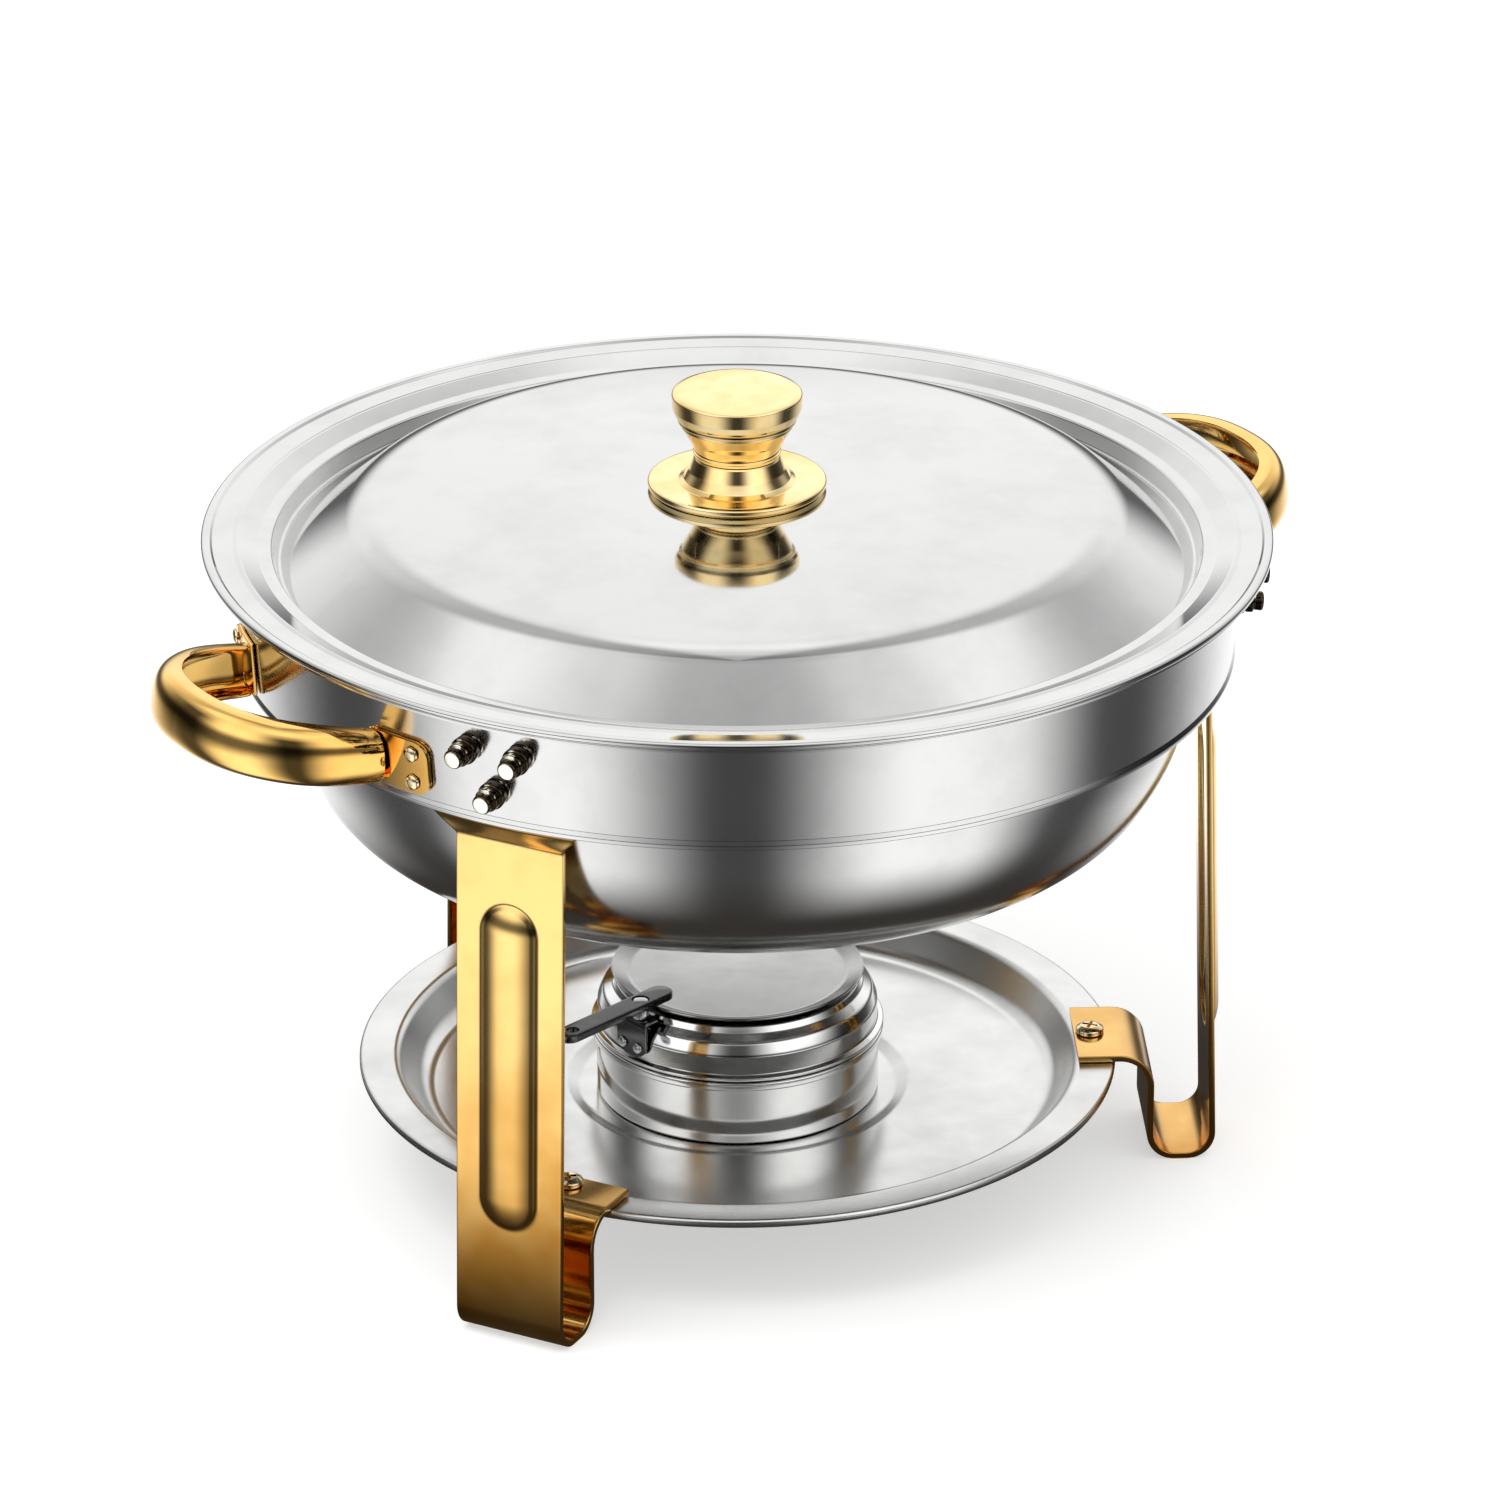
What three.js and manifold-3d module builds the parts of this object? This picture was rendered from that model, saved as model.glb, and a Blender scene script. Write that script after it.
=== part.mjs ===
// Round chafing dish. A domed lid covers a food pan, which nests in a water pan. A steel band on
// three strap legs carries the pans. A tray bolted to the legs holds a fuel burner with a damper.
// Millimetres, +Z up. The origin is on the dish's axis at ground level, and the handles lie on X.

import * as THREE from 'three'
import { mergeVertices } from 'three/addons/utils/BufferGeometryUtils.js'
import Module from 'manifold-3d'

const manifoldLibrary = await Module()
manifoldLibrary.setup()

// ---- Driving dimensions -----------------------------------------------------------------------

const CLEARANCE = 0.3
const LID_RADIUS = 165
const RIM_HEIGHT = 213
const LID_SHEET = 0.8
const PAN_SHEET = 0.9
const LID_DOME_RISE = 13.4
const PAN_SHOULDER_HEIGHT = 179
const FOOD_PAN_FLOOR = 146
const WATER_PAN_FLOOR = 122.9

const BAND_TOP = { radius: 155.7, height: 208.1 }
const BAND_BOTTOM = { radius: 153.3, height: 174 }
const BAND_SHEET = 1.2

const LEG_AZIMUTHS = { back: 90, front_left: 210, front_right: 330 }
const STRAP_WIDTH = 36
const STRAP_SHEET = 2
const STRAP_TOP = { inset: 1.5, drop: 0.8 }
const LEG_PLATE = { width: 48, bottom: 171, top: 203 }
const LEG_CREASE = { radius: 145.2, height: 165.4 }
const FOOT = { outer: 150.2, inner: 130.2, bend: 8 }
const TAB = { end: 107, height: 35.8, bend: 10 }
const RIB = { width: 21, bottom: 38, top: 146, height: 3.2, slope: 3.5, shoulder: 1.6 }
const LEG_BOLTS = {
  upper_left: { sideways: -8.5, height: 198.2 },
  upper_right: { sideways: 8.5, height: 198.2 },
  lower: { sideways: 0, height: 185.2 },
}
const BOLT_RADIUS = 1.7

const HANDLE_AZIMUTHS = { right: 0, left: 180 }
const HANDLE = { start: 146, halfWidth: 36.5, reach: 191.5, squareness: 2.4, height: 187, tilt: 10.5 }
const HANDLE_SECTION = { halfHeight: 9.3, depth: 8, sheet: 1.3 }
const HANDLE_FLANGE = { from: 36.5, to: 57.5, sheet: 1.5 }
const HANDLE_RIVETS = { azimuth: 19.5, rise: 4.6, radius: 1.3 }

const TRAY = { radius: 119.8, rim: 34.5, floor: 23.6, seat: 21.8, sheet: 1 }
const TRAY_SCREW = { radius: 112, shank: 1.8 }

const BURNER_RADIUS = 44.6
const CAP_TOP = 60
const DAMPER_RADIUS = 39.5
const LEVER = { azimuth: 193.5, from: 31, to: 79, width: 8, bottom: 63.7, thickness: 2.5, eye: 73.5 }
const PIVOT = { place: 43.6, shank: 1.3, shoulder: 2.5 }
const BRACKET = { azimuth: 191, width: 13, bottom: 47.2, shelf: 58.4, thickness: 1.4, wall: 44.7, lip: 40.6 }
const BRACKET_RIVET = { turn: 4.2, height: 50.6, radius: 0.9 }

const SHELL_SIDES = 36
const BAND_SIDES = 72
const BURNER_SIDES = 24
const KNOB_SIDES = 16
const FASTENER_SIDES = 8

// ---- Materials --------------------------------------------------------------------------------

const polishedSteel = () => new THREE.MeshStandardMaterial({ color: 0xd4d5d3, roughness: 0.12, metalness: 1 })
const spunSteel = () => new THREE.MeshStandardMaterial({ color: 0xc6c7c5, roughness: 0.28, metalness: 1 })
const polishedGold = () => new THREE.MeshStandardMaterial({ color: 0xd9a441, roughness: 0.16, metalness: 1 })

// ---- Geometry helpers -------------------------------------------------------------------------

const radians = THREE.MathUtils.degToRad
const point = (x, y) => new THREE.Vector2(x, y)
const outline = (...pairs) => pairs.map(([radius, height]) => point(radius, height))

/** Points of a quarter ellipse that leaves `from` along the height and reaches `to` along the radius. */
function roundedCorner(from, to, steps) {
  return Array.from({ length: steps + 1 }, (_, step) => {
    const angle = (Math.PI / 2) * (step / steps)
    const radius = to.x + (from.x - to.x) * Math.cos(angle)
    const height = from.y + (to.y - from.y) * Math.sin(angle)
    return point(radius, height)
  })
}

/** The line of `face` moved to its left by `distance`, with mitred corners. */
function offsetLine(face, distance) {
  const leftOf = (from, to) => point(from.y - to.y, to.x - from.x).normalize()
  return face.map((corner, index) => {
    const before = face[index - 1]
    const after = face[index + 1]
    const into = before ? leftOf(before, corner) : leftOf(corner, after)
    const out = after ? leftOf(corner, after) : into
    const mitre = into.clone().add(out).multiplyScalar(distance / (1 + into.dot(out)))
    return corner.clone().add(mitre)
  })
}

/** Closed outline of a sheet whose seen side is `face` and whose metal lies to the left of it. */
function sheet(face, thickness) {
  return [...offsetLine(face, thickness).reverse(), ...face]
}

/** Solid of revolution about Z. The outline closes on itself or runs from axis to axis. */
function turned(profile, sides) {
  const points = THREE.ShapeUtils.area(profile) < 0 ? [...profile].reverse() : [...profile]
  const meetsAxis = points[0].x === 0 && points.at(-1).x === 0
  if (!meetsAxis) points.push(points[0].clone())
  return new THREE.LatheGeometry(points, sides).rotateX(Math.PI / 2)
}

/** Plate cut to `shape`, with the shape's axes laid along `across` and `along`, grown along `out`. */
function plate(shape, depth, across, along, out, options = {}) {
  const geometry = new THREE.ExtrudeGeometry(shape, { depth, bevelEnabled: false, ...options })
  return geometry.applyMatrix4(new THREE.Matrix4().makeBasis(across, along, out))
}

const X = new THREE.Vector3(1, 0, 0)
const Y = new THREE.Vector3(0, 1, 0)
const Z = new THREE.Vector3(0, 0, 1)

/** Slot-shaped outline with round ends, centred on the origin and long along its second axis. */
function obround(width, length, steps) {
  const radius = width / 2
  const straight = length / 2 - radius
  const shape = new THREE.Shape()
  shape.absarc(0, straight, radius, 0, Math.PI, false)
  shape.absarc(0, -straight, radius, Math.PI, 2 * Math.PI, false)
  return new THREE.Shape(shape.getPoints(steps))
}

/** Cylinder for drilling into a cylinder's side at a place, leaning down by `lean` degrees. */
function sideDrill(radius, place, lean = 0) {
  const drill = new THREE.CylinderGeometry(radius, radius, 14, FASTENER_SIDES)
  drill.rotateZ(Math.PI / 2).rotateY(radians(lean)).translate(place.radius, 0, place.height)
  return drill.rotateZ(radians(place.azimuth))
}

/** Cylinder for drilling straight down at (x, y). */
function verticalDrill(radius, bottom, top, x, y) {
  const drill = new THREE.CylinderGeometry(radius, radius, top - bottom, FASTENER_SIDES)
  return drill.rotateX(Math.PI / 2).translate(x, y, (bottom + top) / 2)
}

/** Closed solid made from a geometry, with its shared vertices merged and empty triangles dropped. */
function solid(geometry) {
  const bare = geometry.clone()
  bare.deleteAttribute('normal')
  bare.deleteAttribute('uv')
  const merged = mergeVertices(bare, 1e-4)
  const corners = merged.index.array
  const triangles = []
  for (let first = 0; first < corners.length; first += 3) {
    const [a, b, c] = corners.slice(first, first + 3)
    if (a !== b && b !== c && c !== a) triangles.push(a, b, c)
  }
  const vertProperties = Float32Array.from(merged.attributes.position.array)
  const triVerts = Uint32Array.from(triangles)
  return new manifoldLibrary.Manifold(new manifoldLibrary.Mesh({ numProp: 3, vertProperties, triVerts }))
}

function geometryOf(body) {
  const { vertProperties, triVerts } = body.getMesh()
  const geometry = new THREE.BufferGeometry()
  geometry.setAttribute('position', new THREE.BufferAttribute(vertProperties, 3))
  geometry.setIndex(new THREE.BufferAttribute(triVerts, 1))
  geometry.computeVertexNormals()
  return geometry
}

const join = (first, ...others) => others.reduce((body, other) => body.add(solid(other)), solid(first))
const cut = (body, ...tools) => tools.reduce((left, tool) => left.subtract(solid(tool)), body)

function named(name, geometry, material) {
  const mesh = new THREE.Mesh(geometry, material)
  mesh.name = name
  return mesh
}

/** Stands a piece that was turned about Z on a cylinder's side, with its own Z pointing outwards. */
function standOut(mesh, place, lean = 0) {
  const angle = radians(place.azimuth)
  mesh.rotation.set(0, Math.PI / 2 + radians(lean), angle, 'ZYX')
  mesh.position.set(place.radius * Math.cos(angle), place.radius * Math.sin(angle), place.height)
  return mesh
}

// ---- Lid and knob -----------------------------------------------------------------------------

const LID_TOP = RIM_HEIGHT + LID_DOME_RISE
const KNOB_HOLE_RADIUS = 3

function makeLid() {
  const face = outline(
    [163, 210.8], [LID_RADIUS, 211.2], [LID_RADIUS, 212.4], [164.4, RIM_HEIGHT], [154.5, RIM_HEIGHT],
    [147.4, 209.8], [143.4, 209.6], [142, 204.3], [140.6, 204.1], [120, 219.2], [110, 222.6],
    [60, 225.4], [KNOB_HOLE_RADIUS, LID_TOP],
  )
  return named('lid', turned(sheet(face, LID_SHEET), SHELL_SIDES), polishedSteel())
}

function makeKnob() {
  const base = LID_TOP + CLEARANCE
  const neck = base + 10.3
  const flange = outline(
    [3, base], [27, base], [27.6, base + 1], [26.8, base + 2.4], [16.4, base + 2.7],
    [14.4, base + 5], [13, base + 10], [3, base + 10],
  )
  const grip = outline(
    [0, neck + 12], [2.8, neck + 12], [2.8, neck], [13.2, neck], [13.2, neck + 0.9], [17.5, neck + 9.4],
    [18.2, neck + 10.6], [17.6, neck + 11.8], [19.6, neck + 13.1], [20.1, neck + 14.4], [20.1, neck + 18],
    [18.8, neck + 19.3], [10, neck + 20.6], [0, neck + 20.9],
  )
  const washerTop = LID_TOP - LID_SHEET - CLEARANCE
  const washer = outline([2.7, washerTop - 1], [6.5, washerTop - 1], [6.5, washerTop], [2.7, washerTop])
  const headTop = washerTop - 1 - CLEARANCE
  const screw = outline(
    [0, headTop - 2.4], [3.6, headTop - 2.4], [4.6, headTop - 1.2], [4.6, headTop],
    [2.2, headTop], [2.2, neck + 11], [0, neck + 11],
  )
  return [
    named('lid_knob_base', turned(flange, KNOB_SIDES), polishedGold()),
    named('lid_knob', turned(grip, KNOB_SIDES), polishedGold()),
    named('lid_knob_washer', turned(washer, KNOB_SIDES), polishedSteel()),
    named('lid_knob_screw', turned(screw, FASTENER_SIDES), polishedSteel()),
  ]
}

// ---- Pans -------------------------------------------------------------------------------------

function makeFoodPan() {
  const floorEdge = point(105, FOOD_PAN_FLOOR)
  const shoulder = point(140.1, PAN_SHOULDER_HEIGHT)
  const face = [
    ...outline([163.4, 209.3], [163.4, 210.5], [152.6, 210.5], [147.4, 207.8], [146.3, 205]),
    ...roundedCorner(shoulder, floorEdge, 4),
    point(0, FOOD_PAN_FLOOR),
  ]
  return named('food_pan', turned(sheet(face, PAN_SHEET), SHELL_SIDES), polishedSteel())
}

function makeWaterPan() {
  const floorEdge = point(110, WATER_PAN_FLOOR)
  const shoulder = point(141.6, PAN_SHOULDER_HEIGHT)
  const face = [
    ...outline([160, 209.3], [152.6, 209.3], [149.2, 206.8]),
    ...roundedCorner(shoulder, floorEdge, 5),
    point(0, WATER_PAN_FLOOR),
  ]
  return named('water_pan', turned(sheet(face, PAN_SHEET), SHELL_SIDES), polishedSteel())
}

// ---- Support band -----------------------------------------------------------------------------

/** Outer radius of the tapered band at a height. */
function bandRadius(height) {
  const share = (height - BAND_BOTTOM.height) / (BAND_TOP.height - BAND_BOTTOM.height)
  return THREE.MathUtils.lerp(BAND_BOTTOM.radius, BAND_TOP.radius, share)
}

/** How far the band's outward face leans down, in degrees. */
const BAND_LEAN = THREE.MathUtils.radToDeg(
  Math.atan2(BAND_TOP.radius - BAND_BOTTOM.radius, BAND_TOP.height - BAND_BOTTOM.height),
)

/** Where a leg bolt crosses the band's outer face, with the leg at an azimuth in degrees. */
function boltPlace(azimuth, bolt) {
  const radius = bandRadius(bolt.height)
  const turn = THREE.MathUtils.radToDeg(Math.asin(bolt.sideways / radius))
  return { azimuth: azimuth + turn, radius, height: bolt.height }
}

/** Tapered ring that follows the band, from one distance off the band's outer face to another. */
function bandRing(near, far, bottom, top) {
  const profile = outline(
    [bandRadius(bottom) + near, bottom], [bandRadius(bottom) + far, bottom],
    [bandRadius(top) + far, top], [bandRadius(top) + near, top],
  )
  return turned(profile, BAND_SIDES)
}

/** Block that reaches through the band's wall on its +X side, centred at (y, z). */
function wallBlock(width, height, y, z) {
  const depth = 0.4 * BAND_TOP.radius
  return new THREE.BoxGeometry(depth, width, height).translate(BAND_TOP.radius, y, z)
}

/** Where the rivets of a handle cross the band's outer face, with the handle at an azimuth. */
function rivetPlaces(handleAzimuth) {
  const sides = [handleAzimuth - HANDLE_RIVETS.azimuth, handleAzimuth + HANDLE_RIVETS.azimuth]
  const heights = [HANDLE.height - HANDLE_RIVETS.rise, HANDLE.height + HANDLE_RIVETS.rise]
  return sides.flatMap((azimuth) => {
    return heights.map((height) => ({ azimuth, radius: bandRadius(height), height }))
  })
}

function makeBand() {
  const boltPlaces = Object.values(LEG_AZIMUTHS).flatMap((azimuth) => {
    return Object.values(LEG_BOLTS).map((bolt) => boltPlace(azimuth, bolt))
  })
  const holes = [
    ...boltPlaces.map((place) => sideDrill(BOLT_RADIUS + CLEARANCE, place, BAND_LEAN)),
    ...Object.values(HANDLE_AZIMUTHS).flatMap(rivetPlaces).map((place) => {
      return sideDrill(HANDLE_RIVETS.radius + CLEARANCE, place, BAND_LEAN)
    }),
  ]
  const ring = solid(bandRing(-BAND_SHEET, 0, BAND_BOTTOM.height, BAND_TOP.height))
  return named('support_band', geometryOf(cut(ring, ...holes)), polishedSteel())
}

// ---- Legs -------------------------------------------------------------------------------------

/** Middle line of a leg strap, in radius and height, from under the band to the tray tab. */
function strapLine() {
  const start = bandRadius(LEG_PLATE.bottom) - BAND_SHEET - CLEARANCE - STRAP_TOP.inset
  const footMiddle = STRAP_SHEET / 2
  const bendHeight = footMiddle + FOOT.bend
  const path = new THREE.Path()
  path.moveTo(start, BAND_BOTTOM.height - STRAP_TOP.drop)
  path.lineTo(LEG_CREASE.radius, LEG_CREASE.height)
  path.lineTo(FOOT.outer, bendHeight)
  path.absarc(FOOT.outer - FOOT.bend, bendHeight, FOOT.bend, 0, -Math.PI / 2, true)
  path.absarc(FOOT.inner + FOOT.bend, bendHeight, FOOT.bend, -Math.PI / 2, -Math.PI, true)
  path.absarc(FOOT.inner - TAB.bend, TAB.height - TAB.bend, TAB.bend, 0, Math.PI / 2, false)
  path.lineTo(TAB.end, TAB.height)
  return path.getPoints(2)
}

function legGeometry() {
  const line = strapLine()
  const half = STRAP_SHEET / 2
  const strapShape = new THREE.Shape([...offsetLine(line, half), ...offsetLine(line, -half).reverse()])
  const strap = plate(strapShape, STRAP_WIDTH, X, Z, Y.clone().negate()).translate(0, STRAP_WIDTH / 2, 0)

  const outerFace = -BAND_SHEET - CLEARANCE
  const plateHeight = LEG_PLATE.top - LEG_PLATE.bottom
  const plateBlock = wallBlock(LEG_PLATE.width, plateHeight, 0, LEG_PLATE.bottom + plateHeight / 2)
  const ring = bandRing(outerFace - STRAP_SHEET, outerFace, LEG_PLATE.bottom - 1, LEG_PLATE.top + 1)
  const curvedPlate = solid(ring).intersect(solid(plateBlock))

  const up = new THREE.Vector3(LEG_CREASE.radius - FOOT.outer, 0, LEG_CREASE.height - half - FOOT.bend)
  up.normalize()
  const out = new THREE.Vector3().crossVectors(Y, up)
  const ribShape = obround(RIB.width - 2 * RIB.slope, RIB.top - RIB.bottom - 2 * RIB.slope, 4)
  const ribBevel = {
    bevelEnabled: true,
    bevelSize: RIB.slope,
    bevelThickness: RIB.shoulder,
    bevelSegments: 2,
  }
  const rib = plate(ribShape, RIB.height - RIB.shoulder, Y, up, out, ribBevel)
  const ribMiddle = (RIB.bottom + RIB.top) / 2
  const faceShare = (ribMiddle - half - FOOT.bend) / (LEG_CREASE.height - half - FOOT.bend)
  const faceRadius = THREE.MathUtils.lerp(FOOT.outer, LEG_CREASE.radius, faceShare) + half
  rib.translate(faceRadius, 0, ribMiddle)

  const holes = Object.values(LEG_BOLTS).map((bolt) => {
    return sideDrill(BOLT_RADIUS + CLEARANCE, boltPlace(0, bolt), BAND_LEAN)
  })
  holes.push(verticalDrill(TRAY_SCREW.shank + CLEARANCE, 30, 40, TRAY_SCREW.radius, 0))
  return geometryOf(cut(join(strap, rib).add(curvedPlate), ...holes))
}

function makeLeg(side, azimuth) {
  const leg = named(`leg_${side}`, legGeometry(), polishedGold())
  leg.rotation.z = radians(azimuth)
  return leg
}

/** Bolt with its head against the inside of the leg plate, and a cap nut on the band's outside. */
function makeLegBolt(side, azimuth, place, bolt) {
  const headFace = -BAND_SHEET - 2 * CLEARANCE - STRAP_SHEET
  const boltProfile = outline(
    [0, headFace - 1.7], [2.6, headFace - 1.7], [3.2, headFace], [BOLT_RADIUS, headFace],
    [BOLT_RADIUS, 5], [0, 5],
  )
  const base = CLEARANCE
  const bore = BOLT_RADIUS + CLEARANCE
  const nutProfile = outline(
    [0, base + 5.2], [bore, base + 5.2], [bore, base], [4.4, base], [4, base + 1.2], [3.7, base + 4.3],
    [2.9, base + 5], [2.7, base + 8.2], [0, base + 9.2],
  )
  const shank = named(`leg_${side}_bolt_${place}`, turned(boltProfile, FASTENER_SIDES), polishedSteel())
  const nut = named(`leg_${side}_cap_nut_${place}`, turned(nutProfile, FASTENER_SIDES), polishedGold())
  return [shank, nut].map((mesh) => standOut(mesh, boltPlace(azimuth, bolt), BAND_LEAN))
}

// ---- Handles ----------------------------------------------------------------------------------

/** Half-round channel section, hollow towards the hand. Its axes are down and outwards. */
function channelSection() {
  const { halfHeight, depth, sheet: wall } = HANDLE_SECTION
  const arch = (high, deep) => {
    return roundedCorner(point(high, 0), point(0, deep), 3).concat(
      roundedCorner(point(-high, 0), point(0, deep), 3).reverse().slice(1),
    )
  }
  return new THREE.Shape([...arch(halfHeight, depth), ...arch(halfHeight - wall, depth - wall).reverse()])
}

/** Loop of the handle, seen from above, a rounded D with its open ends towards the band. */
class HandleLoop extends THREE.Curve {
  getPoint(share, target = new THREE.Vector3()) {
    const { start, halfWidth, reach, squareness } = HANDLE
    const angle = Math.PI * (0.5 - share)
    const rounded = (value) => Math.sign(value) * Math.abs(value) ** (2 / squareness)
    const out = start + (reach - start) * rounded(Math.cos(angle))
    return target.set(out, halfWidth * rounded(Math.sin(angle)), 0)
  }
}

function handleGeometry() {
  const { height, tilt } = HANDLE
  const pivotRadius = bandRadius(height)
  const extrudePath = new HandleLoop()
  const loop = new THREE.ExtrudeGeometry(channelSection(), { steps: 16, extrudePath, bevelEnabled: false })
  loop.translate(-pivotRadius, 0, 0).rotateY(-radians(tilt)).translate(pivotRadius, 0, height)

  const flangeHeight = 2 * HANDLE_SECTION.halfHeight
  const low = BAND_BOTTOM.height - flangeHeight
  const high = BAND_TOP.height + flangeHeight
  const insideBand = outline(
    [0, low], [bandRadius(low) + CLEARANCE, low], [bandRadius(high) + CLEARANCE, high], [0, high],
  )
  const near = CLEARANCE
  const far = CLEARANCE + HANDLE_FLANGE.sheet
  const ring = solid(bandRing(near, far, height - flangeHeight / 2, height + flangeHeight / 2))
  const flanges = [-1, 1].map((side) => {
    const middle = (side * (HANDLE_FLANGE.from + HANDLE_FLANGE.to)) / 2
    const width = HANDLE_FLANGE.to - HANDLE_FLANGE.from
    return ring.intersect(solid(wallBlock(width, flangeHeight + 2, middle, height)))
  })
  const drills = rivetPlaces(0).map((place) => {
    return sideDrill(HANDLE_RIVETS.radius + CLEARANCE, place, BAND_LEAN)
  })
  const body = cut(solid(loop), turned(insideBand, BAND_SIDES)).add(flanges[0]).add(flanges[1])
  return geometryOf(cut(body, ...drills))
}

function makeHandle(side, azimuth) {
  const handle = named(`handle_${side}`, handleGeometry(), polishedGold())
  handle.rotation.z = radians(azimuth)
  return handle
}

function makeHandleRivets(side, azimuth) {
  const head = 2 * CLEARANCE + HANDLE_FLANGE.sheet
  const tail = -BAND_SHEET - CLEARANCE
  const { radius } = HANDLE_RIVETS
  const profile = outline(
    [0, tail - 0.8], [2.2, tail], [radius, tail], [radius, head], [2.6, head], [1.8, head + 1],
    [0, head + 1.3],
  )
  return rivetPlaces(azimuth).map((place, index) => {
    const mesh = named(`handle_${side}_rivet_${index + 1}`, turned(profile, FASTENER_SIDES), polishedGold())
    return standOut(mesh, place, BAND_LEAN)
  })
}

// ---- Tray -------------------------------------------------------------------------------------

function makeTray() {
  const { radius, rim, floor, seat, sheet: wall } = TRAY
  const face = outline(
    [117.4, rim - 2.9], [radius, rim - 2.5], [radius, rim - 0.8], [119, rim], [107, rim], [100, floor],
    [54, floor], [50, seat], [0, seat],
  )
  const dish = solid(turned(sheet(face, wall), SHELL_SIDES))
  const drills = Object.values(LEG_AZIMUTHS).map((azimuth) => {
    const angle = radians(azimuth)
    const x = TRAY_SCREW.radius * Math.cos(angle)
    const y = TRAY_SCREW.radius * Math.sin(angle)
    return verticalDrill(TRAY_SCREW.shank + CLEARANCE, 28, 40, x, y)
  })
  return named('tray', geometryOf(cut(dish, ...drills)), spunSteel())
}

function makeTrayFastening(side, azimuth) {
  const head = TAB.height + STRAP_SHEET / 2 + CLEARANCE
  const screwProfile = outline(
    [0, head - 8.2], [TRAY_SCREW.shank, head - 8.2], [TRAY_SCREW.shank, head], [4.6, head],
    [4.4, head + 1.2], [2.8, head + 2.2], [0, head + 2.5],
  )
  const nutTop = TRAY.rim - TRAY.sheet - CLEARANCE
  const nutBore = TRAY_SCREW.shank + CLEARANCE
  const nutProfile = outline([nutBore, nutTop - 3], [4, nutTop - 3], [4, nutTop], [nutBore, nutTop])
  const angle = radians(azimuth)
  const pieces = [
    named(`tray_screw_${side}`, turned(screwProfile, FASTENER_SIDES), polishedGold()),
    named(`tray_nut_${side}`, turned(nutProfile, FASTENER_SIDES), polishedSteel()),
  ]
  for (const piece of pieces) {
    piece.position.set(TRAY_SCREW.radius * Math.cos(angle), TRAY_SCREW.radius * Math.sin(angle), 0)
  }
  return pieces
}

// ---- Burner -----------------------------------------------------------------------------------

function makeBurnerCup() {
  const base = TRAY.seat + CLEARANCE
  const wall = BURNER_RADIUS
  const profile = outline(
    [0, base], [wall - 0.8, base], [wall, base + 0.8], [wall, 41], [46.2, 41.6], [46.2, 43.6],
    [45.6, 44.2], [wall - 1, 44.2], [wall - 1, base + 1], [0, base + 1],
  )
  return named('burner_cup', turned(profile, BURNER_SIDES), spunSteel())
}

function makeBurnerCap() {
  const profile = outline(
    [42.9, 38.5], [42.9, 44.5], [46.3, 44.5], [46, 45.5], [44.3, 45.9], [44.3, 52.6], [43, 55.8],
    [39.4, 58.4], [38.6, CAP_TOP], [30, CAP_TOP], [30, CAP_TOP - 0.9], [38, CAP_TOP - 0.9],
    [38.6, 57.8], [42.2, 55.1], [43.4, 52.3], [43.4, 46.2], [42, 45.4], [42, 38.5],
  )
  const rivetHoles = bracketRivetPlaces(BRACKET.azimuth).map((place) => {
    return sideDrill(BRACKET_RIVET.radius + CLEARANCE, place)
  })
  const cap = cut(solid(turned(profile, BURNER_SIDES)), ...rivetHoles)
  return named('burner_cap', geometryOf(cap), polishedSteel())
}

/** Where the bracket's rivets cross the burner cap's side, with the bracket at an azimuth. */
function bracketRivetPlaces(bracketAzimuth) {
  return [-BRACKET_RIVET.turn, BRACKET_RIVET.turn].map((turn) => {
    return { azimuth: bracketAzimuth + turn, radius: BRACKET.wall, height: BRACKET_RIVET.height }
  })
}

/** Bent plate riveted to the cap's side, with a shelf under the lever for the pivot. */
function makeBracket() {
  const { azimuth, width, bottom, shelf, thickness, wall, lip } = BRACKET
  const outside = wall + thickness
  const top = shelf + thickness
  const profile = outline(
    [wall, bottom], [outside, bottom], [outside, top], [lip, top], [lip, shelf], [wall, shelf],
  )
  const shape = new THREE.Shape(profile)
  const bent = plate(shape, width, X, Z, Y.clone().negate()).translate(0, width / 2, 0)
  const lean = LEVER.azimuth - azimuth
  const pivot = point(PIVOT.place, 0).rotateAround(point(0, 0), radians(lean))
  const drills = [
    verticalDrill(PIVOT.shank + CLEARANCE, shelf - 1, top + 1, pivot.x, pivot.y),
    ...bracketRivetPlaces(0).map((place) => sideDrill(BRACKET_RIVET.radius + CLEARANCE, place)),
  ]
  const mesh = named('damper_bracket', geometryOf(cut(solid(bent), ...drills)), polishedSteel())
  mesh.rotation.z = radians(azimuth)
  return mesh
}

function makeBracketRivets() {
  const outside = BRACKET.thickness + CLEARANCE
  const { radius } = BRACKET_RIVET
  const profile = outline(
    [0, -2.4], [1.7, -2.4], [1.7, -1.7], [radius, -1.7], [radius, outside], [1.8, outside],
    [1.2, outside + 0.8], [0, outside + 1],
  )
  return bracketRivetPlaces(BRACKET.azimuth).map((place, index) => {
    const mesh = named(`bracket_rivet_${index + 1}`, turned(profile, FASTENER_SIDES), polishedSteel())
    return standOut(mesh, place)
  })
}

function makeDamperDisc() {
  const floor = CAP_TOP + 1.3
  const face = outline([DAMPER_RADIUS, floor + 2.1], [34.5, floor], [0, floor])
  return named('damper_disc', turned(sheet(face, PAN_SHEET), BURNER_SIDES), polishedSteel())
}

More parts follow.
